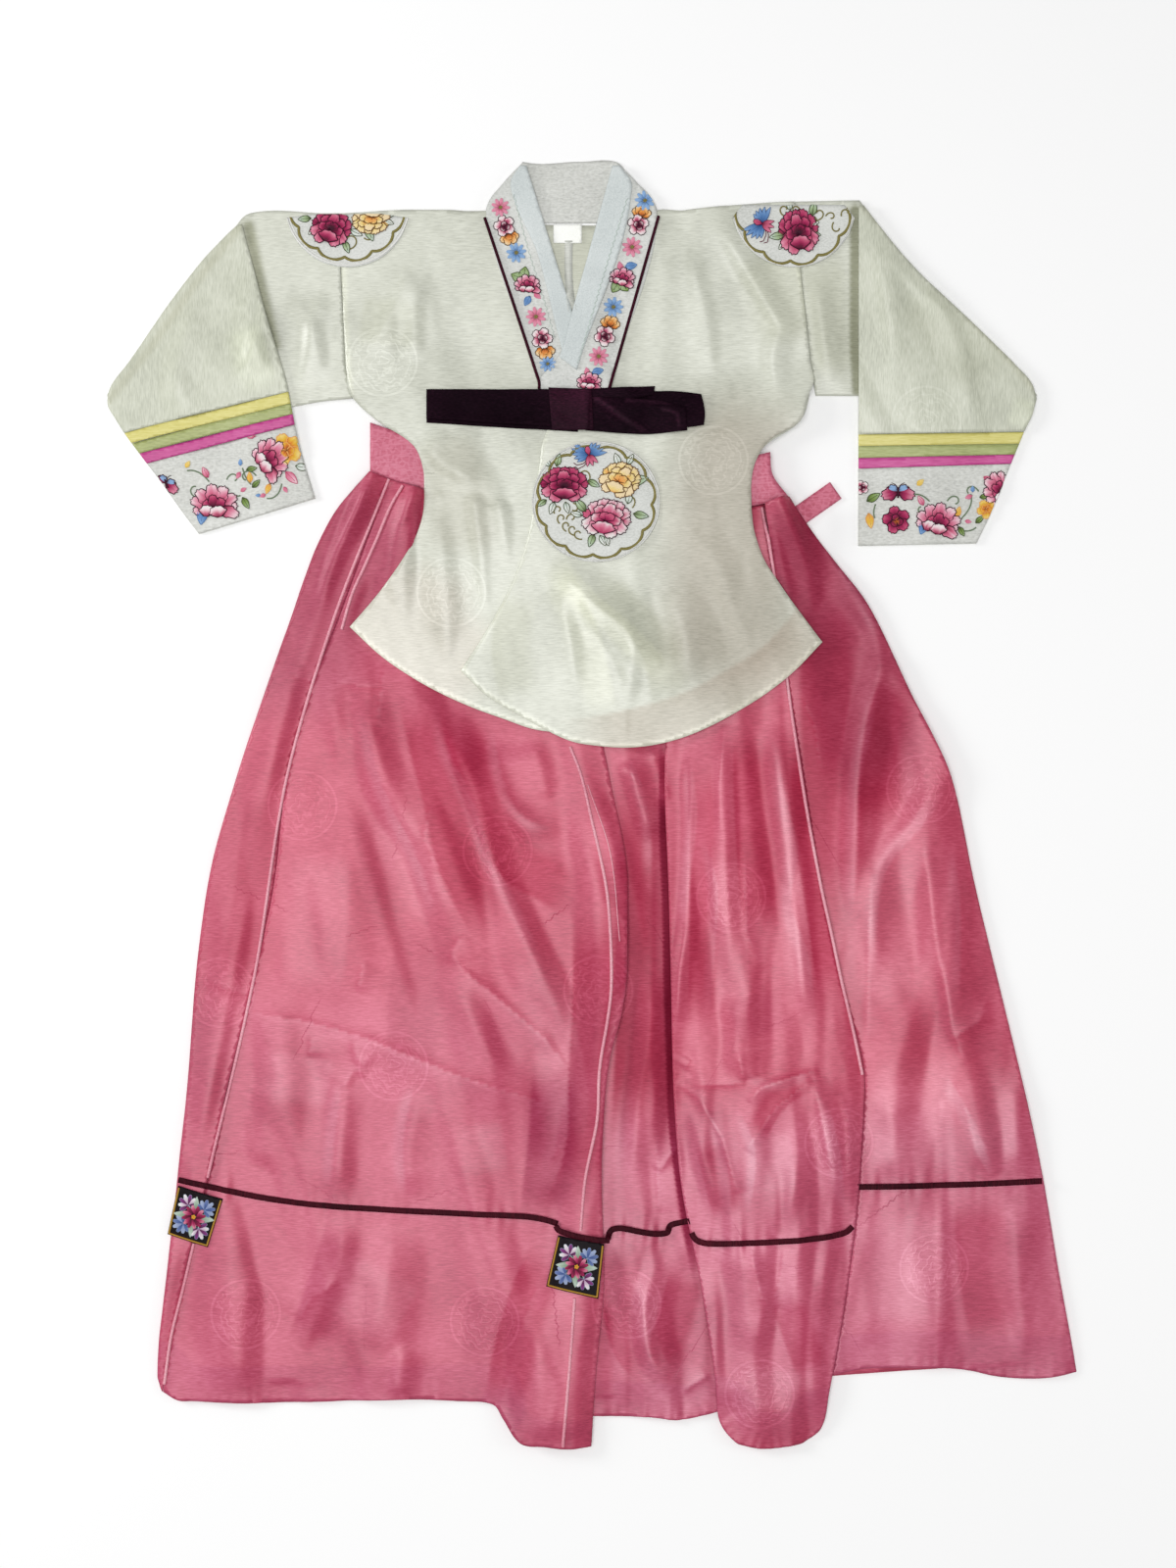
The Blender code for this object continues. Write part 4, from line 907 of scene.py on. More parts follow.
seam_welt = woven("seam_welt", "c2687c", "de92a2", "f0bcc4", slub=(900, 900), roughness=0.5, toned=False)
for name, course in SEAM_COURSES.items():
    round_cord(name, course, 1.4, seam_welt, squash=0.35)
round_cord("skirt_seam_overlap", ((-4, 17), (15, -41), (23, -115)), 0.5, seam_welt, squash=0.2)

# ---------------------------------------------------------------------------------------------
# Waistband: a doubled band of pink brocade that holds the gathers, front and back. Most of it
# lies under the jacket.
lay_cloth("waistband_back_band", "waistband_back", pink_brocade, "band_cloth", ["floor"], thick=1.0,
          grain=HIDDEN_GRAIN, even=2)
lay_cloth("waistband_front_band", "waistband_front", pink_brocade, "band_cloth",
          ["waistband_back_band", "skirt_left_gore", "skirt_right_side_gore"], thick=1.0, grain=3.5, even=4,
          crumple=((22, 22, 0.4, 0.0, 2.7),),
          puckers=((0.35, 7, 9, 1.0, ((-190, 281), (-137, 266), (-87, 256), (-4, 251), (162, 265))),))

# ---------------------------------------------------------------------------------------------
# Ribbon: narrow maroon grosgrain, sewn flat over the join of the hem band. It shows in stretches
# that the skirt's folds part.
maroon_grosgrain = woven("maroon_grosgrain", "22040c", "3a0916", "561625", slub=(1600, 120), slub_depth=0.8,
                         roughness=0.55, gloss=0.06)
RIBBON_WIDTH = 4.8
RIBBON_STRETCHES = {
    "left": (
        (-349.8, -317.1), (-265.2, -334.5), (-169.7, -342.8), (-59.3, -347.8), (-41.1, -350.5), (-29.5, -354),
    ),
    "pleat": (
        (-30.9, -354.8), (-29, -358.1), (-24.5, -360.2), (-13.7, -363.3), (-3.7, -365.2), (6.2, -366.7),
        (14.5, -366.7),
    ),
    "centre": (
        (13.1, -366), (14.1, -361.9), (16.6, -359.1), (22, -357.7), (29.5, -358.4), (37.8, -360.1),
        (50.2, -362.1), (59.3, -362.4), (63.5, -361.3), (64.7, -358.1),
    ),
    "tuck": ((63.7, -359.8), (65.6, -355.9), (71, -353.8), (81.8, -351.9)),
    "fold": (
        (83.8, -361.5), (85.5, -365.2), (89.2, -368.5), (97.5, -370.2), (129.1, -369.3), (162.3, -367.9),
        (191.3, -365.2), (205.4, -363.1), (214.6, -360.5), (219.5, -356.1),
    ),
    "right": ((224.5, -323.3), (320, -320.8), (379.7, -317.9)),
}


def band_outline(course, wide):
    """The outline of a narrow band along a line."""
    line = curve_through(course, 3)
    heading = np.gradient(line, axis=0)
    side = np.stack((-heading[:, 1], heading[:, 0]), axis=1) * wide / 2
    side /= np.linalg.norm(heading, axis=1)[:, None]
    return np.concatenate((line - side, (line + side)[::-1]))


for stretch, course in RIBBON_STRETCHES.items():
    lay_cloth(f"hem_ribbon_{stretch}", f"ribbon_{stretch}", maroon_grosgrain, "ribbon_cloth",
              ["skirt_left_gore", "skirt_centre_gore"], outline=band_outline(course, RIBBON_WIDTH), grain=1.7,
              thick=0.6, even=2)

# ---------------------------------------------------------------------------------------------
# Square patches: black satin with machine embroidery and gold cord on three sides, sewn under
# the ribbon. The needlework is raised fields of satin stitch, each closed underneath.
PATCH_SQUARES = {
    "left": ((-350, -322), (-312, -333), (-325, -374), (-359, -363)),
    "pleat": ((-29, -363), (10, -370), (5, -416), (-39, -406)),
}
STITCH_PITCH = 0.5  # mm between threads in a field of satin stitch
STITCH_THICKNESS = 0.25
OUTLINE_WIDTH = 0.9
PETAL_GRID = (7, 9)  # points along a petal and across it
THREADS = {
    "wine": "6d1236", "magenta": "ad2a5c", "rose": "cf6080", "pink": "e594ac", "blush": "f6dde2",
    "white": "f3f2ee", "plum": "3c0d24", "purple": "8a3f86", "orange": "d9772e", "amber": "efae62",
    "cream": "f6dfb4", "yellow": "e9bc3e", "lemon": "f3d98a", "brown": "6b4522", "gold": "b48a35",
    "olive": "837a45", "moss": "4c5a33", "green": "7f9a4c", "sage": "a9bf92", "mint": "c9d8cd",
    "blue": "5b86bd", "sky": "8fb2dc", "navy": "27467e", "vine": "74866a", "steel": "6f80b4",
    "frost": "a9b6d2", "orchid": "b27fae", "leek": "8fa890",
}


class Needlework:
    """The embroidery of one place, gathered field by field and then set down on the cloth."""

    def __init__(self, seed):
        self.points, self.lifts, self.threads, self.ways, self.faces = [], [], [], [], []
        self.dice = random.Random(seed)
        self.middle, self.flat = np.zeros(2), 1.0  # a flower seen aslant is drawn flatter

    def colour(self, stops, share):
        """A thread's colour at a share of the way through a row of thread names."""
        place = min(max(share, 0.0), 1.0) * (len(stops) - 1)
        i = min(int(place), len(stops) - 2)
        first, second = (np.array(screen_colour(THREADS[stop])) for stop in (stops[i], stops[i + 1]))
        return first + (second - first) * (place - i)

    def field(self, grid, lifts, colours, ways):
        """A raised field: rows of plan points with a height, a colour and a stitch direction each."""
        start, rows, columns = len(self.points), len(grid), len(grid[0])
        for i in range(rows):
            for j in range(columns):
                self.points.append(grid[i][j])
                self.lifts.append(lifts[i][j])
                self.threads.append((*colours[i][j], 1))
                self.ways.append(ways[i][j])
        for i in range(rows - 1):
            for j in range(columns - 1):
                a = start + i * columns + j
                self.faces.append((a, a + 1, a + columns + 1, a + columns))

    def cord(self, line, width=OUTLINE_WIDTH, thread="plum", high=0.3, lift=0.0):
        """A couched cord or a run of outline stitches along a line of plan points."""
        line = np.array(line, float)
        heading = np.gradient(line, axis=0)
        heading /= np.maximum(1e-6, np.linalg.norm(heading, axis=1))[:, None]
        side = np.stack((-heading[:, 1], heading[:, 0]), axis=1) * width / 2
        run = np.concatenate(([0], np.cumsum(np.linalg.norm(np.diff(line, axis=0), axis=1))))
        colour = np.array(screen_colour(THREADS[thread]))
        self.field(
            [[line[i] - side[i], line[i], line[i] + side[i]] for i in range(len(line))],
            [[lift, lift + high, lift]] * len(line),
            [[colour] * 3] * len(line),
            [[(run[i] / width + 0.5 * k, k / 2) for k in range(3)] for i in range(len(line))],
        )

    def petal(self, root, turn, length, width, threads, lift=0.1, lobes=0.0, pointed=False, outline=None,
              dome=0.35, line_width=OUTLINE_WIDTH):
        """One petal or leaf of long and short stitches that run from its root to its tip."""
        rows, columns = PETAL_GRID
        along = np.array((math.cos(turn), math.sin(turn)))
        across = np.array((-along[1], along[0]))
        stops = threads.split()
        shift = [self.dice.uniform(-0.13, 0.13) for _ in range(columns)]
        grid, lifts, colours, ways = [], [], [], []
        for i in range(rows):
            t = (i / (rows - 1)) ** 0.75
            if pointed:
                half = width / 2 * max(0.03, math.sin(math.pi * min(t, 0.995) ** 0.8) ** 0.85)
            else:
                half = width / 2 * (0.2 + 0.8 * math.sin(min(t / 0.68, 1) * math.pi / 2))
                half *= 1 - 0.22 * max(0.0, (t - 0.68) / 0.32) ** 2
            row = []
            for j in range(columns):
                s = 2 * j / (columns - 1) - 1
                reach = t if pointed else t * (1 - 0.3 * s**4 * t + lobes * math.cos(3 * math.pi * s) * t**3)
                row.append(np.array(root, float) + along * length * reach + across * half * s)
            grid.append([self.middle + (point - self.middle) * (1, self.flat) for point in row])
            places = [2 * j / (columns - 1) - 1 for j in range(columns)]
            lifts.append([lift + dome * (1 - s * s) * math.sin(math.pi * (0.15 + 0.7 * t)) for s in places])
            colours.append([self.colour(stops, t + shift[j]) for j in range(columns)])
            ways.append([(s * half / STITCH_PITCH, t * length) for s in places])
        self.field(grid, lifts, colours, ways)
        if outline:
            tip = [] if pointed else grid[-1][1:-1]
            edge = [row[0] for row in grid] + tip + [row[-1] for row in grid[::-1]]
            self.cord(edge, line_width, outline, 0.2, lift + 0.1)

    def flower(self, centre, radius, petals, colours, outline="plum", turn=0.0, flat=1.0):
        """A flower drawn petal over petal: rows of root, direction, length, width and colour row."""
        self.middle, self.flat = np.array(centre, float), flat
        cosine, sine = math.cos(turn), math.sin(turn)
        for level, (x, y, degrees, length, width, tint) in enumerate(petals):
            root = self.middle + radius * np.array((x * cosine - y * sine, x * sine + y * cosine))
            self.petal(root, turn + math.radians(degrees + self.dice.uniform(-4, 4)), radius * length,
                       radius * width, colours[tint], 0.1 + 0.07 * level, 0.05, outline=outline,
                       line_width=min(OUTLINE_WIDTH, 0.05 * radius + 0.3))
        self.flat = 1.0

    def set_down(self, name, finish, cloth):
        """The whole of the needlework as one mesh that lies on a cloth and is cut off at its edge."""
        points = np.array(self.points)
        edge = upper_face(cloth)[1]
        outside = ~within(points, edge)
        self.faces = [face for face in self.faces if not outside[list(face)].all()]
        rim = np.concatenate((edge, edge[:1]))
        starts, spans = rim[:-1], np.diff(rim, axis=0)
        for i in np.nonzero(outside)[0]:
            share = np.clip(((points[i] - starts) * spans).sum(axis=1) / (spans**2).sum(axis=1), 0, 1)
            nearest = starts + share[:, None] * spans
            points[i] = nearest[np.linalg.norm(nearest - points[i], axis=1).argmin()]
        faces = np.array(self.faces)
        kept, faces = np.unique(faces, return_inverse=True)
        faces, points = faces.reshape(-1, 4), points[kept]
        height = cloth_under(points) + np.array(self.lifts)[kept] + STITCH_THICKNESS
        first, across = points[faces[:, 2]] - points[faces[:, 0]], points[faces[:, 3]] - points[faces[:, 1]]
        down = first[:, 0] * across[:, 1] < first[:, 1] * across[:, 0]
        faces[down] = faces[down][:, ::-1]
        mesh = cloth_mesh(name, points, height, faces, finish)
        threads = np.array(self.threads, float)[kept]
        mesh.attributes.new("thread", "FLOAT_COLOR", "POINT").data.foreach_set("color", threads.reshape(-1))
        map_points(mesh, "stitch", np.array(self.ways)[kept])
        thicken(name, mesh, STITCH_THICKNESS)


def stitched(name):
    """Silk thread: each stitch field's own colour, ribbed along its stitches."""
    made, shader, node, link = new_finish(name)
    colour = node("Attribute", attribute_name="thread")
    way = node("UVMap", uv_map="stitch")
    ribs = node("TexWave", Scale=0.314, Distortion=0.6)
    link(way.outputs["UV"], ribs.inputs["Vector"])
    # painted shade between the ribs of the stitches
    shade = node("MapRange", To_Min=0.82, To_Max=1.06)
    link(ribs.outputs["Fac"], shade.inputs["Value"])
    tinted = node("Mix", data_type="RGBA", blend_type="MULTIPLY")
    tinted.inputs[MIX_SHARE].default_value = 1.0
    link(colour.outputs["Color"], tinted.inputs[MIX_FIRST])
    link(shade.outputs["Result"], tinted.inputs[MIX_SECOND])
    link(tinted.outputs[MIX_RESULT], shader.inputs["Base Color"])
    bump = node("Bump", Strength=0.5, Distance=0.0002)
    link(ribs.outputs["Fac"], bump.inputs["Height"])
    link(bump.outputs["Normal"], shader.inputs["Normal"])
    shader.inputs["Roughness"].default_value = 0.45
    shader.inputs["Specular IOR Level"].default_value = 0.16
    return made


silk_thread = stitched("silk_thread")
patch_ground = woven("patch_ground", "0a0608", "161014", "241a20", slub=(900, 900), gloss=0.06)
CORNER_FLOWERS = (  # place in the square, direction its petals fan towards, in degrees, and threads
    ((0.22, 0.79), 125, "plum purple", "orchid white"),
    ((0.79, 0.79), 55, "navy steel", "steel frost"),
    ((0.21, 0.22), 215, "navy steel", "steel frost"),
    ((0.77, 0.2), 305, "plum purple", "orchid white"),
)
for side, square in PATCH_SQUARES.items():
    lay_cloth(f"square_patch_{side}", f"patch_{side}", patch_ground, "patch_cloth", ["skirt_left_gore"],
              grain=2.2, thick=0.8, even=3)
    work = Needlework(31)
    upper_left, upper_right, lower_right, lower_left = (np.array(corner, float) for corner in square)

    def spot(u, v):
        top = upper_left + (upper_right - upper_left) * u
        foot = lower_left + (lower_right - lower_left) * u
        return foot + (top - foot) * v

    middle = spot(0.5, 0.5)
    tilt = math.atan2(*(upper_right - upper_left)[::-1])
    reach = np.linalg.norm(upper_right - upper_left)
    for place, degrees, dark, light in CORNER_FLOWERS:
        heart = spot(*(0.5 + (np.array(place) - 0.5) * 0.66))
        for k in (0, 6, 1, 5, 2, 4, 3):
            angle = tilt + math.radians(degrees + (k - 3) * 34)
            work.petal(heart, angle, reach * (0.24 - 0.012 * abs(k - 3)), reach * 0.105,
                       light if k % 2 else dark, 0.1 + 0.04 * (3 - abs(k - 3)), dome=0.5, outline="frost",
                       line_width=0.35)
        stem = curve_through([heart, (heart + middle) / 2 + (0.8, 0.8), middle], 1.0)
        work.cord(stem, 0.7, "mint", 0.3)
    for k in range(4):
        work.petal(middle, tilt + math.radians(90 * k + 6), reach * 0.44, reach * 0.17, "moss leek mint", 0.2,
                   pointed=True, dome=0.5, outline="mint", line_width=0.35)
    for k in range(12):  # the petals of the middle flower all lean one way
        lean = k * math.pi / 6 - 1.2
        root = middle + reach * 0.05 * np.array((math.cos(lean), math.sin(lean)))
        threads = "plum wine magenta" if k % 2 else "wine magenta pink"
        work.petal(root, tilt + k * math.pi / 6, reach * 0.22, reach * 0.1, threads, 0.5 + 0.02 * k, dome=0.4)
    for k in range(5):
        work.petal(middle, 2 * math.pi * k / 5, reach * 0.05, reach * 0.04, "orange yellow", 0.9)
    corners = [spot(*corner) for corner in ((0.03, 0.97), (0.03, 0.03), (0.97, 0.03), (0.97, 0.97))]
    border = np.concatenate([np.linspace(a, b, 16) for a, b in zip(corners, corners[1:])])
    work.cord(border, 1.5, "gold", 0.6)
    work.set_down(f"square_patch_{side}_needlework", silk_thread, f"patch_{side}")

# ---------------------------------------------------------------------------------------------
# Sleeves: two layers of ivory brocade, cut in one with the shoulder and folded down along a
# slanted line, then three joined stripes and a white cuff.
ivory_satin = woven("ivory_satin", "b3b5a7", "cccec0", "e1e3d6", gloss=0.7, roughness=0.36, motif=1.3)
ivory_turned = woven("ivory_satin_turned", "acaf9e", "c5c8b6", "dadccd", slub=(1300, 140), gloss=0.6,
                     roughness=0.4, motif=0.9)
white_brocade = woven("white_brocade", "aeafaa", "c6c7c1", "dcddd8", roughness=0.5, brocade=0.5,
                      slub=(300, 900))
STRIPES = {
    "yellow": woven("yellow_satin", "c3ba5a", "d2ca76", "e4dd95"),
    "green": woven("green_satin", "878f58", "a2aa6c", "b8c088"),
    "magenta": woven("magenta_satin", "a52f75", "c2458c", "d468a5"),
}
# painted highlight along a folded edge that catches the light
EDGE_HIGHLIGHT = (1.2, 1.2, 1.18)
# painted highlight on the folded sleeve
SLEEVE_SHEEN = (1.08, 1.09, 1.05)
SHADED_EDGE = (0.90, 0.89, 0.85)
# Per sleeve: folds of its front layer and rows of painted shade beside them; folds, roundels and shaded outer
# edge of its folded part, with rows of painted highlight there and, on the right, painted shade beside a
# lower fold.
SLEEVE_FOLDS = {
    "left": {
        "upper": [
            (3.0, 9, 0.2, 0.3, ((-228, 432), (-238, 399), (-244, 354))),
            (2.4, 8, ((-253, 432), (-234, 395), (-228, 358))),
        ],
        "shade": (((0.62, 0.62, 0.54), 2.5, 5, ((-291, 489), (-279, 432), (-269, 389))),),
        "lower": [
            (3.1, 11, 0.2, 0.4, ((-265, 441), (-284, 391), (-303, 349))),
            (2.6, 9, ((-281, 464), (-289, 408), (-271, 356))),
            (2.6, 12, ((-332, 432), (-348, 383), (-354, 329))),
        ],
        "roundels": ((-177, 374),),
        "edge": ((-289, 500), (-336, 439), (-377, 381), (-409, 341)),
        "pale": ((SLEEVE_SHEEN, 8, 14, ((-294, 408), (-284, 366), (-273, 349))),),
    },
    "right": {
        "upper": [(2.8, 9, 0.2, 0.4, ((189, 445), (195, 399), (200, 351)))],
        "shade": (
            ((0.52, 0.52, 0.44), 3, 2.5, ((222, 503), (222, 441), (222, 391), (224, 350))),
            ((0.88, 0.88, 0.84), 10, 16, ((192, 474), (200, 408), (205, 351))),
        ),
        "lower": [
            (2.9, 10, 0.2, 0.4, ((239, 478), (249, 416), (257, 349))),
            (2.6, 12, ((278, 441), (308, 391), (322, 325))),
            (2.1, 9, ((245, 474), (270, 441), (316, 403))),
        ],
        "roundels": ((282, 324),),
        "edge": ((225, 510), (270, 464), (332, 399), (376, 349)),
        "pale": (
            (SLEEVE_SHEEN, 6, 8, ((368, 345), (360, 316))),
            ((0.92, 0.92, 0.90), 16, 30, ((270, 441), (316, 391), (337, 349))),
        ),
    },
}
for side, table in SLEEVE_FOLDS.items():
    lay_cloth(f"sleeve_{side}_back_sheet", f"sleeve_{side}_upper_back", ivory_satin, "jacket_cloth",
              ["floor"], grain=HIDDEN_GRAIN, even=2)
    lay_cloth(f"sleeve_{side}_front_sheet", f"sleeve_{side}_upper_front", ivory_satin, "jacket_cloth",
              [f"sleeve_{side}_back_sheet"], folds=table["upper"], crumple=((26, 70, 1.0, 0.0, 1.9),),
              tones=table["shade"])
    lay_cloth(f"sleeve_{side}_folded_under", f"sleeve_{side}_lower_under", ivory_turned, "jacket_cloth",
              [f"sleeve_{side}_front_sheet", "floor"], grain=HIDDEN_GRAIN, even=2)
    lay_cloth(f"sleeve_{side}_folded_sheet", f"sleeve_{side}_lower", ivory_turned, "jacket_cloth",
              [f"sleeve_{side}_folded_under"], folds=table["lower"], motifs=table["roundels"],
              crumple=((34, 60, 1.2, 0.2, 3.3), (13, 30, 0.35, 0.0, 4.1)),
              tones=((SHADED_EDGE, 1.5, 4, table["edge"]), *table["pale"]))
    for colour, finish in STRIPES.items():
        lay_cloth(f"stripe_{side}_{colour}_band", f"stripe_{side}_{colour}", finish, f"stripe_{colour}",
                  [f"sleeve_{side}_folded_under"], grain=2.4, thick=1.0, even=3,
                  crumple=((18, 18, 0.3, 0.0, 1.1),))
    lay_cloth(f"cuff_{side}_band", f"cuff_{side}", white_brocade, "collar_cloth",
              [f"sleeve_{side}_folded_under"], grain=2.6, thick=1.0, even=6,
              crumple=((26, 34, 0.8, 0.0, 6.1),))

# ---------------------------------------------------------------------------------------------
# Jacket body: a back, then the left front, then the right front that laps over it, all ivory
# brocade with a narrow folded edge.
HEM_UNDER = ((-205, 150), (-178, 125), (-145, 103), (-108, 85), (-83, 75), (-45, 63), (-4, 60))
HEM_OVER = (
    (-111, 113), (-88, 91), (-46, 67), (-27, 56), (0, 50), (28, 48), (56, 51), (83, 59), (125, 81),
    (163, 106), (194, 137),
)
FRONT_EDGE = ((-44, 349), (-40, 316), (-45, 295), (-50, 249), (-67, 192), (-86, 154), (-111, 113))
JACKET_ROUNDELS = ((102, 290), (-119, 179), (-177, 374))
LEFT_NECK = ((-91, 496), (-68, 427), (-45, 356))
RIGHT_NECK = ((56, 497), (34, 424), (14, 350))
TUCK_REACH = 12


def tucked_outline(node, line, shift):
    """The outline of a piece with the edge beside a line moved on, under its neighbour."""
    edge = upper_face(node)[1]
    near = beside(edge, line)[0] < TUCK_REACH
    return np.where(near[:, None], edge + np.array(shift), edge)


# painted shade on the back inside the neck, under the collar
lay_cloth("jacket_back_sheet", "jacket_back", ivory_satin, "jacket_cloth",
          ["floor", "waistband_front_band", "skirt_left_gore", "skirt_right_side_gore"], grain=6, even=6,
          tones=(((0.86, 0.86, 0.82), 12, 18, ((-37, 432), (-18, 482), (5, 432))),))
lay_cloth(
    "jacket_left_front_sheet", "jacket_front_left", ivory_satin, "jacket_cloth", ["jacket_back_sheet"],
    outline=tucked_outline("jacket_front_left", LEFT_NECK, (7.6, 2.5)),
    folds=[
        (3.4, 11, 0.2, 0.4, ((-153, 453), (-168, 420), (-190, 381))),
        (2.5, 9, 0.2, 0.3, ((-146, 444), (-150, 408), (-149, 373))),
        (2.9, 8, ((-124, 316), (-137, 297), (-124, 285), (-97, 271))),
        (2.6, 14, ((-135, 266), (-127, 217), (-122, 150), (-128, 109))),
        (2.1, 12, ((-87, 291), (-82, 233), (-90, 167))),
    ],
    crumple=((36, 90, 1.5, 0.1, 5.2), (14, 34, 0.35, 0.0, 2.4)), motifs=JACKET_ROUNDELS,
    tones=(
        # Painted highlight on the folded hem edge, the pink of the skirt showing through the belly, painted
        # shade at the side of the waist and beside the shoulder fold, and the pale line along the armhole.
        (EDGE_HIGHLIGHT, 3.5, 1, HEM_UNDER),
        ((1.02, 0.955, 0.955), 30, 34, ((-137, 217), (-161, 150), (-87, 80))),
        ((0.88, 0.86, 0.84), 14, 26, ((-137, 316), (-113, 266), (-108, 200))),
        ((1.14, 1.14, 1.10), 3.5, 1, ((-212, 455), (-210, 399), (-206, 349))),
        ((0.93, 0.93, 0.90), 12, 24, ((-170, 432), (-176, 383))),
    ),
)
lay_cloth(
    "jacket_right_front_sheet", "jacket_front_right", ivory_satin, "jacket_cloth",
    ["jacket_back_sheet", "jacket_left_front_sheet"],
    outline=tucked_outline("jacket_front_right", RIGHT_NECK, (-7.6, 2.2)),
    folds=[
        (3.6, 10, 0.2, 0.3,
         ((105, 494), (127, 456), (147, 423), (160, 403), (151, 381), (156, 351), (168, 323))),
        (2.3, 10, ((79, 474), (96, 416), (103, 358))),
        (2.6, 20, 0.2, 0.3, ((-32, 203), (-10, 173), (23, 144), (59, 107))),
        (2.6, 16, 0.2, 0.4, ((-29, 184), (-21, 144), (-16, 88))),
        (2.4, 18, ((56, 183), (79, 142), (79, 100))),
        (2.6, 14, ((93, 233), (114, 175), (137, 117))),
        (2.3, 10, ((21, 183), (33, 134), (29, 76))),
    ],
    creases=(
        (1.8, 5, ((-24, 190), (6, 165), (33, 142), (59, 115))), (1.2, 5, ((-28, 175), (-18, 134), (-12, 88))),
        (1.2, 4, ((-10, 173), (29, 109), (53, 88))), (1.2, 5, ((79, 150), (63, 109), (66, 92))),
        (1.0, 4, ((-40, 349), (-43, 291))),
    ),
    crumple=((36, 90, 1.5, -0.1, 8.4), (14, 34, 0.35, 0.0, 3.6)), motifs=JACKET_ROUNDELS,
    tones=(
        # The edge rows are a painted highlight on the folded hem and front edges. A darker pink band follows
        # the hem. The darker rows over the belly and beside the folds are painted shade, the belly one tinged
        # with the skirt's pink showing through; the two paler wedges are painted sheen; the narrow pale line
        # runs along the armhole.
        (EDGE_HIGHLIGHT, 3.5, 1, HEM_OVER),
        (EDGE_HIGHLIGHT, 2.5, 1, FRONT_EDGE),
        ((0.90, 0.83, 0.81), 12, 11, ((212, 192), (162, 127), (122, 99), (79, 77), (21, 61), (-37, 54))),
        ((0.76, 0.70, 0.68), 22, 60, ((150, 366), (117, 242), (119, 67))),
        ((1.10, 1.10, 1.06), 7, 12, ((-37, 207), (-22, 180), (-4, 134), (11, 67))),
        ((1.10, 1.10, 1.06), 6, 9, ((-37, 212), (-7, 173), (29, 142), (71, 97))),
        ((0.87, 0.87, 0.83), 10, 12, ((-7, 192), (29, 163), (56, 129), (66, 76))),
        ((0.92, 0.92, 0.88), 9, 14, ((-62, 183), (-70, 134), (-62, 84))),
        ((1.14, 1.14, 1.10), 3, 1, ((176, 452), (186, 399), (191, 347))),
        ((0.92, 0.92, 0.88), 16, 26, ((137, 474), (162, 432), (172, 383))),
    ),
)

# ---------------------------------------------------------------------------------------------
# Collar: a standing back collar, the bare neck label, and two bands of white brocade, each with
# a stiff bluish white strip on its inner edge and a dark piping on its outer one.
strip_cloth = woven("strip_cloth", "b9c0c0", "cbd2d1", "dbe0df", slub=(900, 900), gloss=0.3, roughness=0.6)
label_cloth = woven("label_cloth", "ecede3", "fbfcf5", "ffffff", slub=(1200, 1200), roughness=0.6)
collar_cloth = woven("collar_cloth", "b3b4af", "cdcfca", "e0e1de", slub=(400, 900), roughness=0.5,
                     brocade=0.35)
lay_cloth("back_collar_band", "collar_back", white_brocade, "collar_cloth", ["floor", "jacket_back_sheet"],
          grain=2.4, thick=1.0, even=5, crumple=((16, 20, 0.5, 0.0, 1.4),))
lay_cloth("neck_label", "label", label_cloth, "label_cloth", ["jacket_back_sheet"], grain=2.0, thick=0.5,
          even=1)
COLLAR_GORES = (
    ("left_collar_band", "collar_left", collar_cloth, "collar_cloth"),
    ("left_collar_strip", "collar_strip_left", strip_cloth, "collar_strip"),
    ("right_collar_band", "collar_right", collar_cloth, "collar_cloth"),
    ("right_collar_strip", "collar_strip_right", strip_cloth, "collar_strip"),
)
for name, node, finish, slot in COLLAR_GORES:
    lay_cloth(name, node, finish, slot, ["jacket_left_front_sheet", "jacket_right_front_sheet"], grain=2.4,
              thick=0.9, even=6)
aubergine_piping = woven("aubergine_piping", "22060f", "34091a", "491428", slub=(900, 900), gloss=0.05,
                         toned=False)
PIPING_COURSES = {
    "collar_piping_left": ("piping_left", ((-91, 496), (-45, 357), (-45, 351))),
    "collar_piping_right": ("piping_right", ((56, 497), (14, 350))),
}
for name, (node, course) in PIPING_COURSES.items():
    round_cord(name, course, 1.3, aubergine_piping, nodes=[node], squash=0.6, lift=0.5)

# ---------------------------------------------------------------------------------------------
# Round patches: white satin applied to the chest and over both shoulders, where the folds cut
# the outer two short.
patch_satin = woven("patch_satin", "b5b7b1", "cfd1cc", "e2e3df", slub=(500, 900), roughness=0.5)
for place in ("chest", "left", "right"):
    lay_cloth(f"round_patch_{place}", f"medallion_{place}", patch_satin, "collar_cloth",
              ["jacket_left_front_sheet", "jacket_right_front_sheet"], grain=2.6, thick=0.7, even=6)

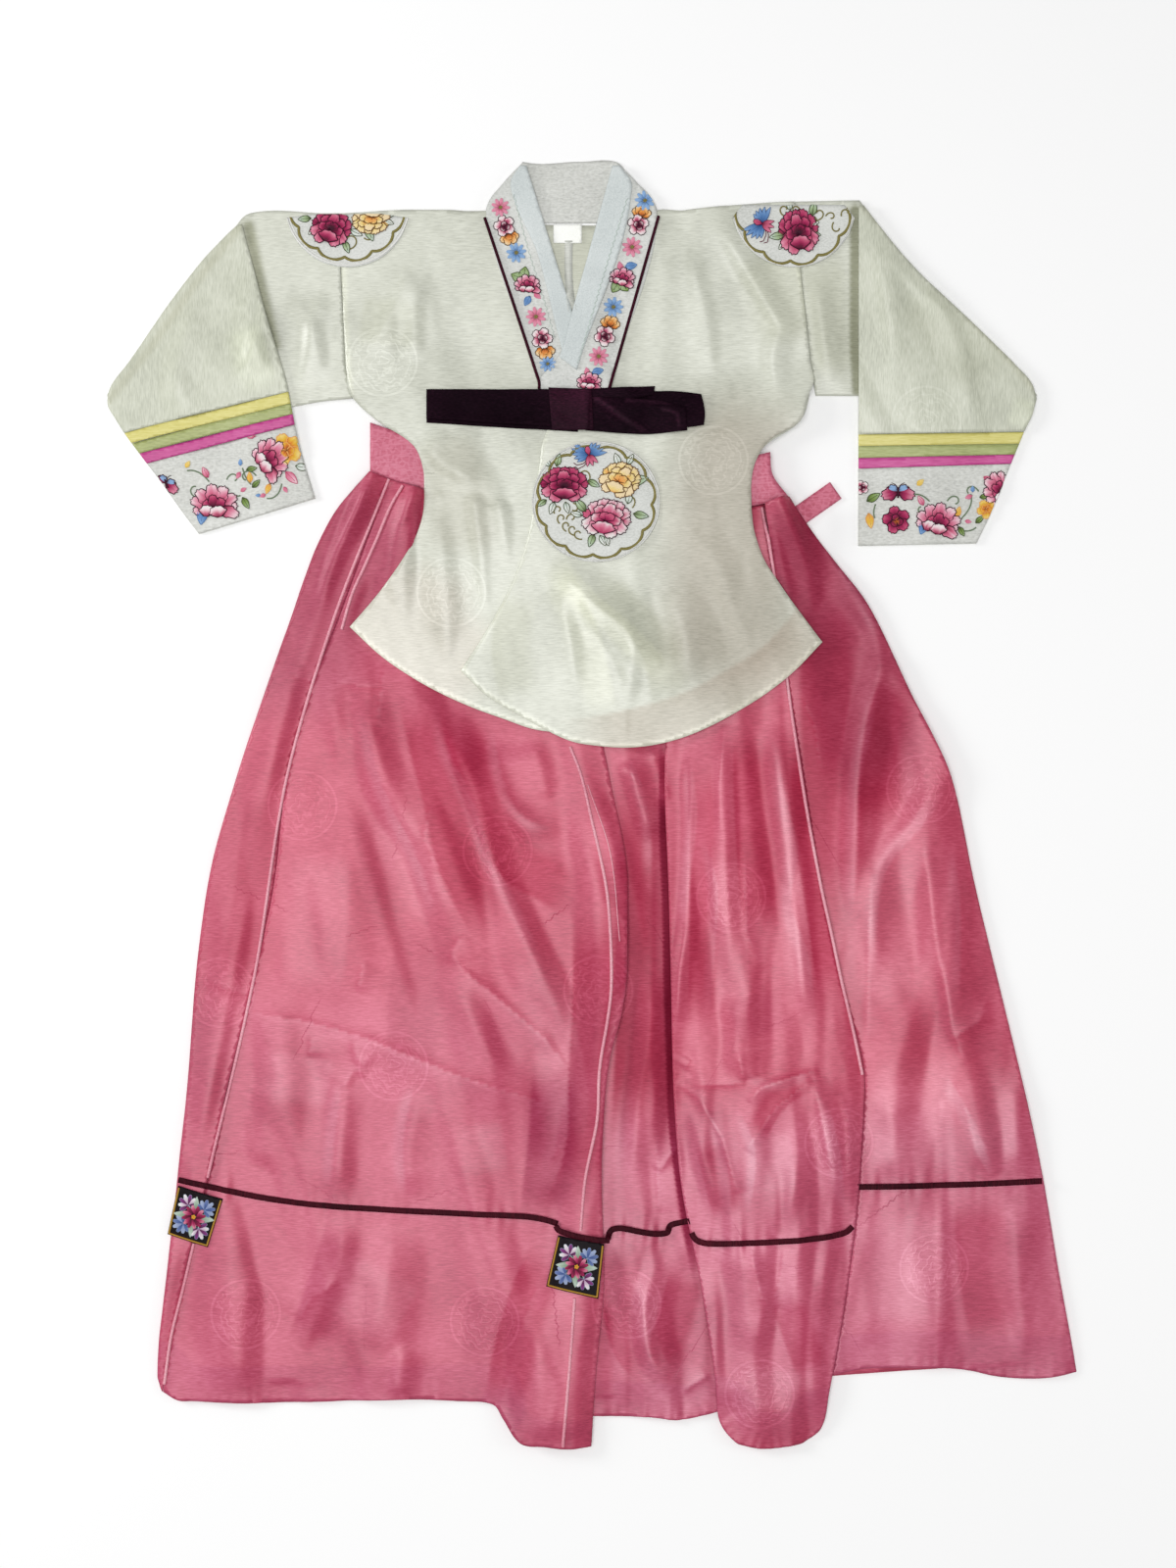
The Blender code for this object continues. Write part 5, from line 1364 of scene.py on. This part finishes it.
# ---------------------------------------------------------------------------------------------
# Needlework on the collar, the cuffs and the round patches: small single flowers and daisies in a
# row on the collar, a flowering vine with butterflies on each cuff, and peonies with a bird
# inside a scalloped gold cord on the round patches.
PEONY = (  # root, direction, length and width of each petal in radii, and its colour row
    (0, 0, 178, 1.0, 0.7, 0), (0, 0, 2, 1.0, 0.75, 1), (0, 0, 148, 1.0, 0.8, 1), (0, 0, 32, 1.0, 0.8, 1),
    (0, 0, 115, 1.0, 0.8, 1), (0, 0, 65, 1.0, 0.8, 1), (0, 0, 90, 0.96, 0.6, 1), (0, -0.1, 208, 1.02, 0.8, 2),
    (0, -0.1, 332, 1.02, 0.8, 2), (0, -0.1, 238, 1.0, 0.75, 2), (0, -0.1, 302, 1.0, 0.75, 2),
    (0, 0, 140, 0.72, 0.7, 1), (0, 0, 40, 0.72, 0.7, 1), (0, 0, 90, 0.76, 0.62, 2),
    (0, -0.1, 178, 0.62, 0.6, 1), (0, -0.1, 2, 0.62, 0.6, 1), (0, -0.15, 118, 0.44, 0.5, 0),
    (0, -0.15, 62, 0.44, 0.5, 0), (0, -0.86, 90, 0.62, 1.05, 2),
)
BLOSSOM = (
    (0, -0.2, 188, 1.0, 0.7, 1), (0, -0.2, -8, 1.0, 0.7, 1), (0, -0.2, 156, 1.1, 0.75, 1),
    (0, -0.2, 24, 1.1, 0.75, 1), (0, -0.2, 124, 1.15, 0.75, 1), (0, -0.2, 56, 1.15, 0.75, 1),
    (0, -0.2, 90, 1.2, 0.7, 1), (0.15, -0.3, 322, 1.0, 0.7, 1), (0, -0.3, 140, 0.6, 0.6, 0),
    (0, -0.3, 45, 0.6, 0.6, 0), (0, -0.3, 92, 0.7, 0.5, 0), (-0.5, -0.72, 72, 0.62, 0.72, 2),
    (0.12, -0.86, 96, 0.62, 0.85, 2),
)
SMALL_FLOWER = (
    (0, 0, 90, 1.0, 1.0, 0), (0, 0, 162, 1.0, 1.0, 0), (0, 0, 18, 1.0, 1.0, 0), (0, 0, 234, 1.0, 1.0, 0),
    (0, 0, 306, 1.0, 1.0, 0), (0, -0.1, 90, 0.5, 0.6, 1), (0, -0.1, 210, 0.45, 0.6, 1),
    (0, -0.1, 330, 0.45, 0.6, 1),
)
HALF_FLOWER = (
    (0, 0, 150, 1.0, 0.8, 0), (0, 0, 30, 1.0, 0.8, 0), (0, 0, 112, 1.05, 0.85, 0), (0, 0, 68, 1.05, 0.85, 0),
    (0, 0, 90, 0.6, 0.7, 1),
)
DAISY_TURNS = [(a, math.radians(a)) for a in range(0, 360, 40)]
DAISY = tuple((0.18 * math.cos(turn), 0.18 * math.sin(turn), a, 0.82, 0.42, 0) for a, turn in DAISY_TURNS)
FLOWERS = {  # drawing, rows of threads from root to tip, outline
    "magenta_peony": (
        PEONY,
        ("plum plum wine magenta", "plum wine wine magenta rose", "plum wine magenta rose pink"), "plum",
    ),
    "pink_peony": (
        PEONY,
        ("wine magenta rose rose", "wine magenta rose blush", "magenta rose pink white"), "plum",
    ),
    "yellow_peony": (
        PEONY,
        ("orange amber amber lemon", "orange amber lemon cream", "amber lemon cream cream"), "brown",
    ),
    "blossom": (
        BLOSSOM,
        ("plum wine magenta rose", "plum wine rose pink blush", "wine rose blush white"), "plum",
    ),
    "lily": (SMALL_FLOWER, ("brown orange yellow lemon", "brown orange yellow"), "amber"),
    "small_bloom": (SMALL_FLOWER, ("plum wine magenta rose", "orange wine magenta"), "plum"),
    "wine_flower": (SMALL_FLOWER, ("plum wine rose blush white", "plum wine blush"), "plum"),
    "orange_flower": (HALF_FLOWER, ("wine orange amber cream", "plum orange amber"), "brown"),
    "pink_daisy": (DAISY, ("rose pink pink",), None),
    "blue_daisy": (DAISY, ("blue sky sky",), None),
}
LEAVES = {  # threads, outline
    "broad_leaf": ("green sage green", "moss"), "green_leaf": ("moss green sage", "moss"),
    "pale_leaf": ("mint white", "moss"), "dark_leaf": ("moss sage mint", "moss"),
    "blue_leaf": ("sky blue sky", "blue"), "pink_leaf": ("rose pink blush", "rose"),
    "gold_leaf": ("amber yellow lemon", "amber"), "bud_pink": ("rose pink", None),
    "bud_blue": ("blue sky", None), "bud_yellow": ("yellow lemon", None),
}


def sew(work, kind, place, size, degrees=0.0, flat=1.0):
    """One motif of a design: its kind, its place, its radius or length in mm, its turn, how flat."""
    turn = math.radians(degrees)
    if kind in FLOWERS:
        petals, colours, outline = FLOWERS[kind]
        work.flower(place, size, petals, colours, outline, turn, flat)
        if petals is DAISY:
            work.flower(place, size * 0.22, SMALL_FLOWER[:5], ("olive olive",), None)
    elif kind in LEAVES:
        threads, outline = LEAVES[kind]
        broad = {"bud": 0.62, "bro": 0.78, "blu": 0.62}.get(kind[:3], 0.5)
        work.petal(place, turn, size, size * broad, threads, 0.15, pointed=True, outline=outline,
                   line_width=0.7)
        if outline:
            tip = np.array(place) + size * 0.8 * np.array((math.cos(turn), math.sin(turn)))
            work.cord(np.linspace(place, tip, 4), 0.6, outline, 0.3, 0.4)
    elif kind == "leaf_pair":
        for spread in (-38, 38):
            sew(work, "broad_leaf", place, size, degrees + spread)
    elif kind == "butterfly":
        upper, lower = "plum sky sky", "plum magenta pink"
        for spread, share, threads in ((152, 0.62, upper), (28, 0.62, upper), (196, 1.0, lower),
                                       (-16, 1.0, lower)):
            work.petal(place, turn + math.radians(spread), size * share, size * share * 0.85, threads, 0.15,
                       lobes=0.08, outline="plum")
        for side in (-1, 1):
            reach = side * size * math.cos(turn)
            feeler = [np.array(place) + (a * reach, b * size) for a, b in ((0, 0), (0.16, 0.4), (0.4, 0.52))]
            work.cord(curve_through(feeler, 1.2), 0.6, "plum", 0.3, 0.2)
        body = np.array((math.sin(turn), math.cos(turn))) * size
        work.cord(np.linspace(np.array(place) - 0.4 * body, np.array(place) + 0.25 * body, 5), 1.6, "plum",
                  0.7, 0.3)
    elif kind == "bird":
        for spread, share in ((158, 1.0), (22, 0.9)):
            for k in range(5):
                way = turn + math.radians(spread + (k - 2) * 17)
                work.petal(place, way, size * share * (1 - 0.08 * k), size * 0.26, "navy blue sky",
                           0.1 + 0.04 * k, pointed=True, dome=0.4, outline="navy", line_width=0.35)
        for k in range(3):
            work.petal(place, turn + math.radians(-62 - 28 * k), size * 0.6, size * 0.22, "wine rose pink",
                       0.4, pointed=True, outline="wine", line_width=0.5)
        work.petal(place, turn + math.radians(84), size * 0.42, size * 0.3, "magenta rose", 0.5,
                   outline="plum", line_width=0.5)
        for k in range(2):
            bend = [(0, 0), (-0.35, -0.3 - 0.1 * k), (-0.75, -0.28 - 0.2 * k), (-0.85, -0.12 - 0.2 * k)]
            cosine, sine = math.cos(turn), math.sin(turn)
            turned = [np.array((a * cosine - b * sine, a * sine + b * cosine)) for a, b in bend]
            line = [np.array(place) + size * step for step in turned]
            work.cord(curve_through(line, 1.2), 0.7, "wine", 0.3, 0.2)


def tendril(work, start, degrees, length, curl, thread="olive", width=1.3):
    """A scroll that starts straight and winds up towards its end by curl degrees."""
    steps = max(8, round(length / 1.2))
    line, heading = [np.array(start, float)], math.radians(degrees)
    for i in range(steps):
        bend = heading + math.radians(curl) * ((i + 1) / steps) ** 1.7
        line.append(line[-1] + length / steps * np.array((math.cos(bend), math.sin(bend))))
    work.cord(line, width, thread, 0.4)


COLLAR_DESIGNS = {  # kind, place, size in mm, turn and, for a flower, how flat it is drawn
    "left": (
        ("pink_daisy", (-77.6, 504.6), 8, 0), ("orange_flower", (-71, 482.2), 9, 195),
        ("wine_flower", (-74.3, 488.9), 9, 20), ("blue_daisy", (-64.3, 466.5), 8.5, 10),
        ("leaf_pair", (-58.5, 444), 11, 118), ("blossom", (-55.2, 439.9), 10.5, 10, 0.8),
        ("blue_leaf", (-52.7, 429.9), 9, 240), ("bud_pink", (-49.4, 433.3), 8, 315),
        ("pink_daisy", (-47.7, 412.5), 8.5, 20), ("orange_flower", (-40.3, 385.9), 9, 190),
        ("wine_flower", (-42.7, 394.2), 9, 50), ("blue_daisy", (-37.8, 372.7), 7, 10),
    ),
    "right": (
        ("blue_daisy", (44.4, 510.4), 8.5, 15), ("orange_flower", (41.1, 497.2), 9, 350),
        ("wine_flower", (38.6, 489.7), 9, 70), ("pink_daisy", (33.6, 471.4), 8.5, 0),
        ("bud_pink", (24.5, 450.7), 9, 102), ("blue_leaf", (27.8, 454.8), 10, 10),
        ("leaf_pair", (22.8, 442.4), 11, 275), ("blossom", (25.3, 445.7), 10.5, 350, 0.8),
        ("blue_daisy", (17.8, 420.8), 8.5, 0), ("orange_flower", (14.5, 404.2), 9, 350),
        ("wine_flower", (10.4, 395.9), 9, 30), ("pink_daisy", (5.4, 378.5), 8.5, 8),
        ("bud_pink", (-3.7, 361), 8.5, 100), ("blue_leaf", (-0.4, 364.4), 10, 15),
        ("blossom", (-2.9, 356.9), 10, 0, 0.8),
    ),
}
SCALLOP_STITCHES = {
    "left": ((-66.8, 515.4), (-52.7, 464), (-42.7, 432.4), (-32, 395.1)),
    "right": ((29.5, 512.1), (14.5, 464), (0.4, 415.8), (-12, 372.7)),
}
for side, design in COLLAR_DESIGNS.items():
    work = Needlework(7)
    for row in design:
        sew(work, *row)
    edge = curve_through(SCALLOP_STITCHES[side], 2.6)
    wave = np.array([(0.7 * (-1) ** i, 0) for i in range(len(edge))])
    work.cord(edge + wave, 0.5, "mint", 0.15)
    work.set_down(f"collar_{side}_needlework", silk_thread, f"collar_{side}")

CUFF_DESIGNS = {
    "left": (
        ("blue_leaf", (-329.1, 250.7), 14, 262), ("pink_leaf", (-324.9, 276.4), 10, 118),
        ("gold_leaf", (-289.3, 272.2), 9, 95), ("green_leaf", (-295.9, 259.8), 11, 300),
        ("blossom", (-320, 255.6), 19, 10, 0.8), ("pink_leaf", (-284.3, 311.2), 11, 170),
        ("lily", (-258.5, 300.5), 13, 20), ("pink_leaf", (-259.4, 281.4), 14, 315),
        ("gold_leaf", (-272.7, 271.4), 9, 250), ("blossom", (-271.8, 293), 15, 320, 1.1),
        ("pale_leaf", (-251.1, 286.3), 12, 350), ("butterfly", (-360.6, 272.2), 12, 335),
        ("bud_yellow", (-344, 284.7), 7, 60), ("bud_blue", (-297.6, 286.3), 6, 90),
        ("bud_pink", (-297.6, 281.4), 7, 240), ("green_leaf", (-292.6, 283), 9, 10),
        ("bud_pink", (-297.6, 264.8), 6, 30), ("green_leaf", (-287.6, 268.1), 9, 45),
        ("bud_pink", (-276, 262.3), 6, 200), ("bud_blue", (-280.1, 261.4), 5, 180),
        ("bud_pink", (-261, 268.9), 6, 300),
    ),
    "right": (
        ("green_leaf", (232, 256.5), 13, 30), ("gold_leaf", (233.6, 246.5), 13, 280),
        ("butterfly", (258.5, 264.8), 14, 0), ("small_bloom", (256.9, 240.7), 11.5, 15),
        ("blue_leaf", (281.8, 239.9), 12, 250), ("pink_leaf", (280.1, 253.1), 9, 120),
        ("blossom", (292.6, 240.7), 18, 350, 0.8), ("gold_leaf", (308.3, 243.2), 9, 75),
        ("green_leaf", (310, 234.9), 9, 300), ("bud_yellow", (274.3, 269.8), 8, 40),
        ("bud_pink", (315, 239.9), 6, 350), ("bud_pink", (321.6, 261.4), 7, 200),
        ("bud_blue", (321.6, 263.9), 6, 90), ("green_leaf", (327.4, 259.8), 8, 10),
        ("pink_leaf", (330.8, 277.2), 9, 330), ("green_leaf", (324.1, 238.2), 9, 40),
        ("blossom", (342.4, 267.3), 12, 60, 1.2), ("lily", (333.2, 249.8), 8, 250),
        ("wine_flower", (227.8, 268.1), 6, 90),
    ),
}
CUFF_VINES = {
    "left": (
        ((-324.1, 273.1), 130, 22, 60), ((-309.2, 274.7), 70, 16, -220), ((-297.6, 261.4), 200, 16, -110),
        ((-284.3, 278.1), 130, 20, 210), ((-295.9, 284.7), 285, 16, 30), ((-262.7, 271.4), 260, 20, -90),
        ((-335.7, 259.8), 150, 14, -160),
    ),
    "right": (
        ((285.1, 256.5), 135, 16, 60), ((300, 256.5), 60, 18, -230), ((311.7, 241.5), 45, 24, 60),
        ((281.8, 245.7), 190, 12, -170), ((326.6, 264.8), 120, 16, 190), ((239.5, 254), 250, 12, 40),
        ((307.5, 233.2), 340, 18, 60),
    ),
}
for side, design in CUFF_DESIGNS.items():
    work = Needlework(19)
    for start, degrees, length, curl in CUFF_VINES[side]:
        tendril(work, start, degrees, length, curl, "vine", 1.2)
    for row in design:
        sew(work, *row)
    work.set_down(f"cuff_{side}_needlework", silk_thread, f"cuff_{side}")

ROUND_DESIGNS = {
    "chest": {
        "centre": (2.9, 254.8), "radii": (54, 51),
        "sewn": (
            ("dark_leaf", (-30.3, 284.7), 11, 75), ("pale_leaf", (-35.3, 284.7), 9, 130),
            ("dark_leaf", (-3.7, 273.1), 11, 330), ("pale_leaf", (-32, 254.8), 11, 250),
            ("dark_leaf", (-38.6, 256.5), 9, 215), ("pale_leaf", (-22.8, 254.8), 10, 285),
            ("magenta_peony", (-23.7, 269.8), 20, 0, 0.74), ("pale_leaf", (22.8, 285.5), 11, 110),
            ("pale_leaf", (29.5, 286.3), 10, 60), ("dark_leaf", (29.5, 271.4), 18, 12),
            ("yellow_peony", (23.7, 273.9), 17, 330, 0.85), ("dark_leaf", (-5.4, 246.5), 14, 130),
            ("pale_leaf", (-8.7, 243.2), 10, 165), ("pale_leaf", (29.5, 253.1), 11, 75),
            ("dark_leaf", (34.4, 244.8), 13, 350), ("dark_leaf", (1.2, 228.2), 12, 250),
            ("pale_leaf", (11.2, 226.6), 9, 285), ("pale_leaf", (6.2, 226.6), 10, 300),
            ("pink_peony", (12, 241.5), 20.5, 345, 0.78), ("bird", (-2.9, 294.6), 17, 20),
        ),
        "scrolls": (
            ((-8.7, 223.3), 185, 16, -250), ((-15.4, 226.6), 165, 15, -250), ((-22, 229.9), 150, 15, -260),
            ((-27.8, 236.5), 130, 15, -260), ((-32, 244.8), 110, 14, -260), ((-22, 239.9), 80, 14, -250),
            ((-3.7, 270.6), 60, 20, 230), ((33.6, 249.8), 50, 18, 240), ((-16.2, 254), 340, 12, -200),
        ),
    },
    "left": {
        "centre": (-207.1, 508.8), "radii": (53, 53),
        "sewn": (
            ("dark_leaf", (-237.8, 495.5), 11, 185), ("pale_leaf", (-232.8, 488.9), 10, 225),
            ("pale_leaf", (-227.8, 485.5), 9, 270), ("dark_leaf", (-209.6, 476.4), 11, 290),
            ("pale_leaf", (-204.6, 485.5), 11, 335), ("pale_leaf", (-202.9, 490.5), 10, 10),
            ("magenta_peony", (-220.4, 488), 17, 340, 0.9), ("dark_leaf", (-191.3, 488.9), 14, 295),
            ("pale_leaf", (-174.7, 497.2), 9, 20), ("pale_leaf", (-176.4, 493.8), 9, 340),
            ("yellow_peony", (-187.2, 493.8), 16, 170, 0.75),
        ),
        "scrolls": (((-209.6, 468.9), 0, 26, 250), ((-193, 478.9), 320, 12, 200)),
    },
    "right": {
        "centre": (169.7, 505.5), "radii": (53, 53),
        "sewn": (
            ("dark_leaf", (162.3, 481.4), 13, 190), ("pale_leaf", (162.3, 475.6), 8, 235),
            ("dark_leaf", (182.2, 483.1), 11, 350), ("pale_leaf", (182.2, 488.9), 10, 20),
            ("dark_leaf", (185.5, 497.2), 13, 80), ("pale_leaf", (167.2, 502.1), 9, 100),
            ("magenta_peony", (173.9, 484.7), 17, 10, 1.1), ("bird", (143.2, 490.5), 18, 75),
        ),
        "scrolls": (
            ((183.8, 487.2), 15, 18, 220), ((190.5, 493.8), 20, 16, 230), ((197.1, 497.2), 60, 14, -250),
            ((162.3, 497.2), 150, 16, -240), ((175.5, 500.5), 90, 12, 200), ((203.8, 492.2), 240, 14, 200),
            ((210.4, 497.2), 100, 12, -200),
        ),
    },
}
SCALLOPS = 12
SCALLOP_TURN = math.radians(3)
for place, design in ROUND_DESIGNS.items():
    work = Needlework(53)
    centre, radii = np.array(design["centre"]), np.array(design["radii"])
    angles = np.linspace(0, 2 * math.pi, 289)
    ring = np.stack((np.cos(angles), np.sin(angles)), axis=1)
    lobes = np.abs(np.sin(SCALLOPS * (angles + SCALLOP_TURN) / 2)) ** 0.7
    work.cord(centre + ring * radii * (0.86 + 0.08 * lobes)[:, None], 2.4, "olive", 0.6)
    work.cord(centre + ring[::3] * radii * 0.995, 1.2, "white", 0.5)
    work.cord(centre + ring[::3] * radii * 0.955, 0.7, "white", 0.3)
    for start, degrees, length, curl in design["scrolls"]:
        tendril(work, start, degrees, length, curl, "olive", 1.2)
    for row in design["sewn"]:
        sew(work, *row)
    work.set_down(f"round_patch_{place}_needlework", silk_thread, f"medallion_{place}")

# ---------------------------------------------------------------------------------------------
# Centre back seam: a narrow pressed allowance in the jacket's back, seen through the neck under
# the label.
back_seam_cloth = woven("back_seam_cloth", "b4b6ad", "c9cbc3", "dcddd5", roughness=0.5, toned=False)
work = Needlework(3)
work.cord(curve_through(((-20, 477), (-20, 445), (-17, 417)), 5), 6.6, "white", 0.25)
work.set_down("centre_back_seam", back_seam_cloth, "jacket_back")

# ---------------------------------------------------------------------------------------------
# Bow: a flattened ribbon tie of dark aubergine satin, one long loop to the left, two tails and a
# short loop to the right, and a knot over them.
aubergine_satin = woven("aubergine_satin", "0d050a", "190b14", "2e1523", slub=(300, 1300), roughness=0.5,
                        gloss=0.012)
# painted sheen: the raised knot painted lighter and redder than the rest of the bow
KNOT_SHEEN = ((2.1, 1.5, 1.7), 30, 1, ((-32, 333), (-2, 333)))
LIT = (2.3, 1.8, 2.0)  # a pressed edge that catches the light
BOW_PARTS = (  # piece, node, folds, creases and tones
    ("bow_loop_lower_layer", "bow_loop_under", (), (), ()),
    (
        "bow_loop_upper_layer", "bow_loop_over",
        ((1.4, 7, 0.1, 0.1, ((-137, 320), (-37, 313))),),
        ((1.0, 3, ((-138, 322), (-87, 319), (-35, 316))),),
        ((LIT, 0.6, 2.4, ((-138, 322), (-87, 319), (-35, 316))),),
    ),
    ("bow_tail_lower_layer", "bow_tail_under", (), ((1.0, 3, ((71, 348), (74, 333), (83, 320))),), ()),
    ("bow_short_loop", "bow_loop_right", ((1.2, 6, 0.1, 0.2, ((0, 346), (38, 348))),), (), ()),
    (
        "bow_tail_upper_layer", "bow_tail_over",
        (
            (2.2, 8, 0.1, 0.3, ((1, 344), (23, 326), (42, 316))),
            (1.6, 6, 0.1, 0.3, ((1, 339), (46, 334), (78, 336))),
        ),
        ((1.2, 3, ((1, 343), (23, 327), (42, 316))), (1.0, 3, ((36, 339), (71, 330)))),
        (
            (LIT, 0.6, 2.4, ((1, 343), (23, 327), (42, 316))), (LIT, 0.5, 2.0, ((29, 340), (79, 339))),
            (LIT, 0.5, 1.8, ((59, 333), (71, 330), (73, 320))),
        ),
    ),
    (
        "bow_knot_wrap", "bow_knot",
        ((1.0, 6, 0.2, 0.2, ((-34, 348), (-30, 315))),),
        ((0.7, 3, ((-6, 349), (-5, 316))),),
        # painted sheen on the knot and a painted shadow line along its right edge
        (KNOT_SHEEN, ((0.5, 0.5, 0.5), 0.5, 1.2, ((-2, 349), (-3, 315)))),
    ),
)
for name, node, folds, creases, tones in BOW_PARTS:
    lay_cloth(name, node, aubergine_satin, "bow_cloth", ["jacket_right_front_sheet"], grain=2.0, thick=0.9,
              even=4, folds=folds, creases=creases, tones=tones, crumple=((20, 12, 0.6, 0.0, 2.9),))
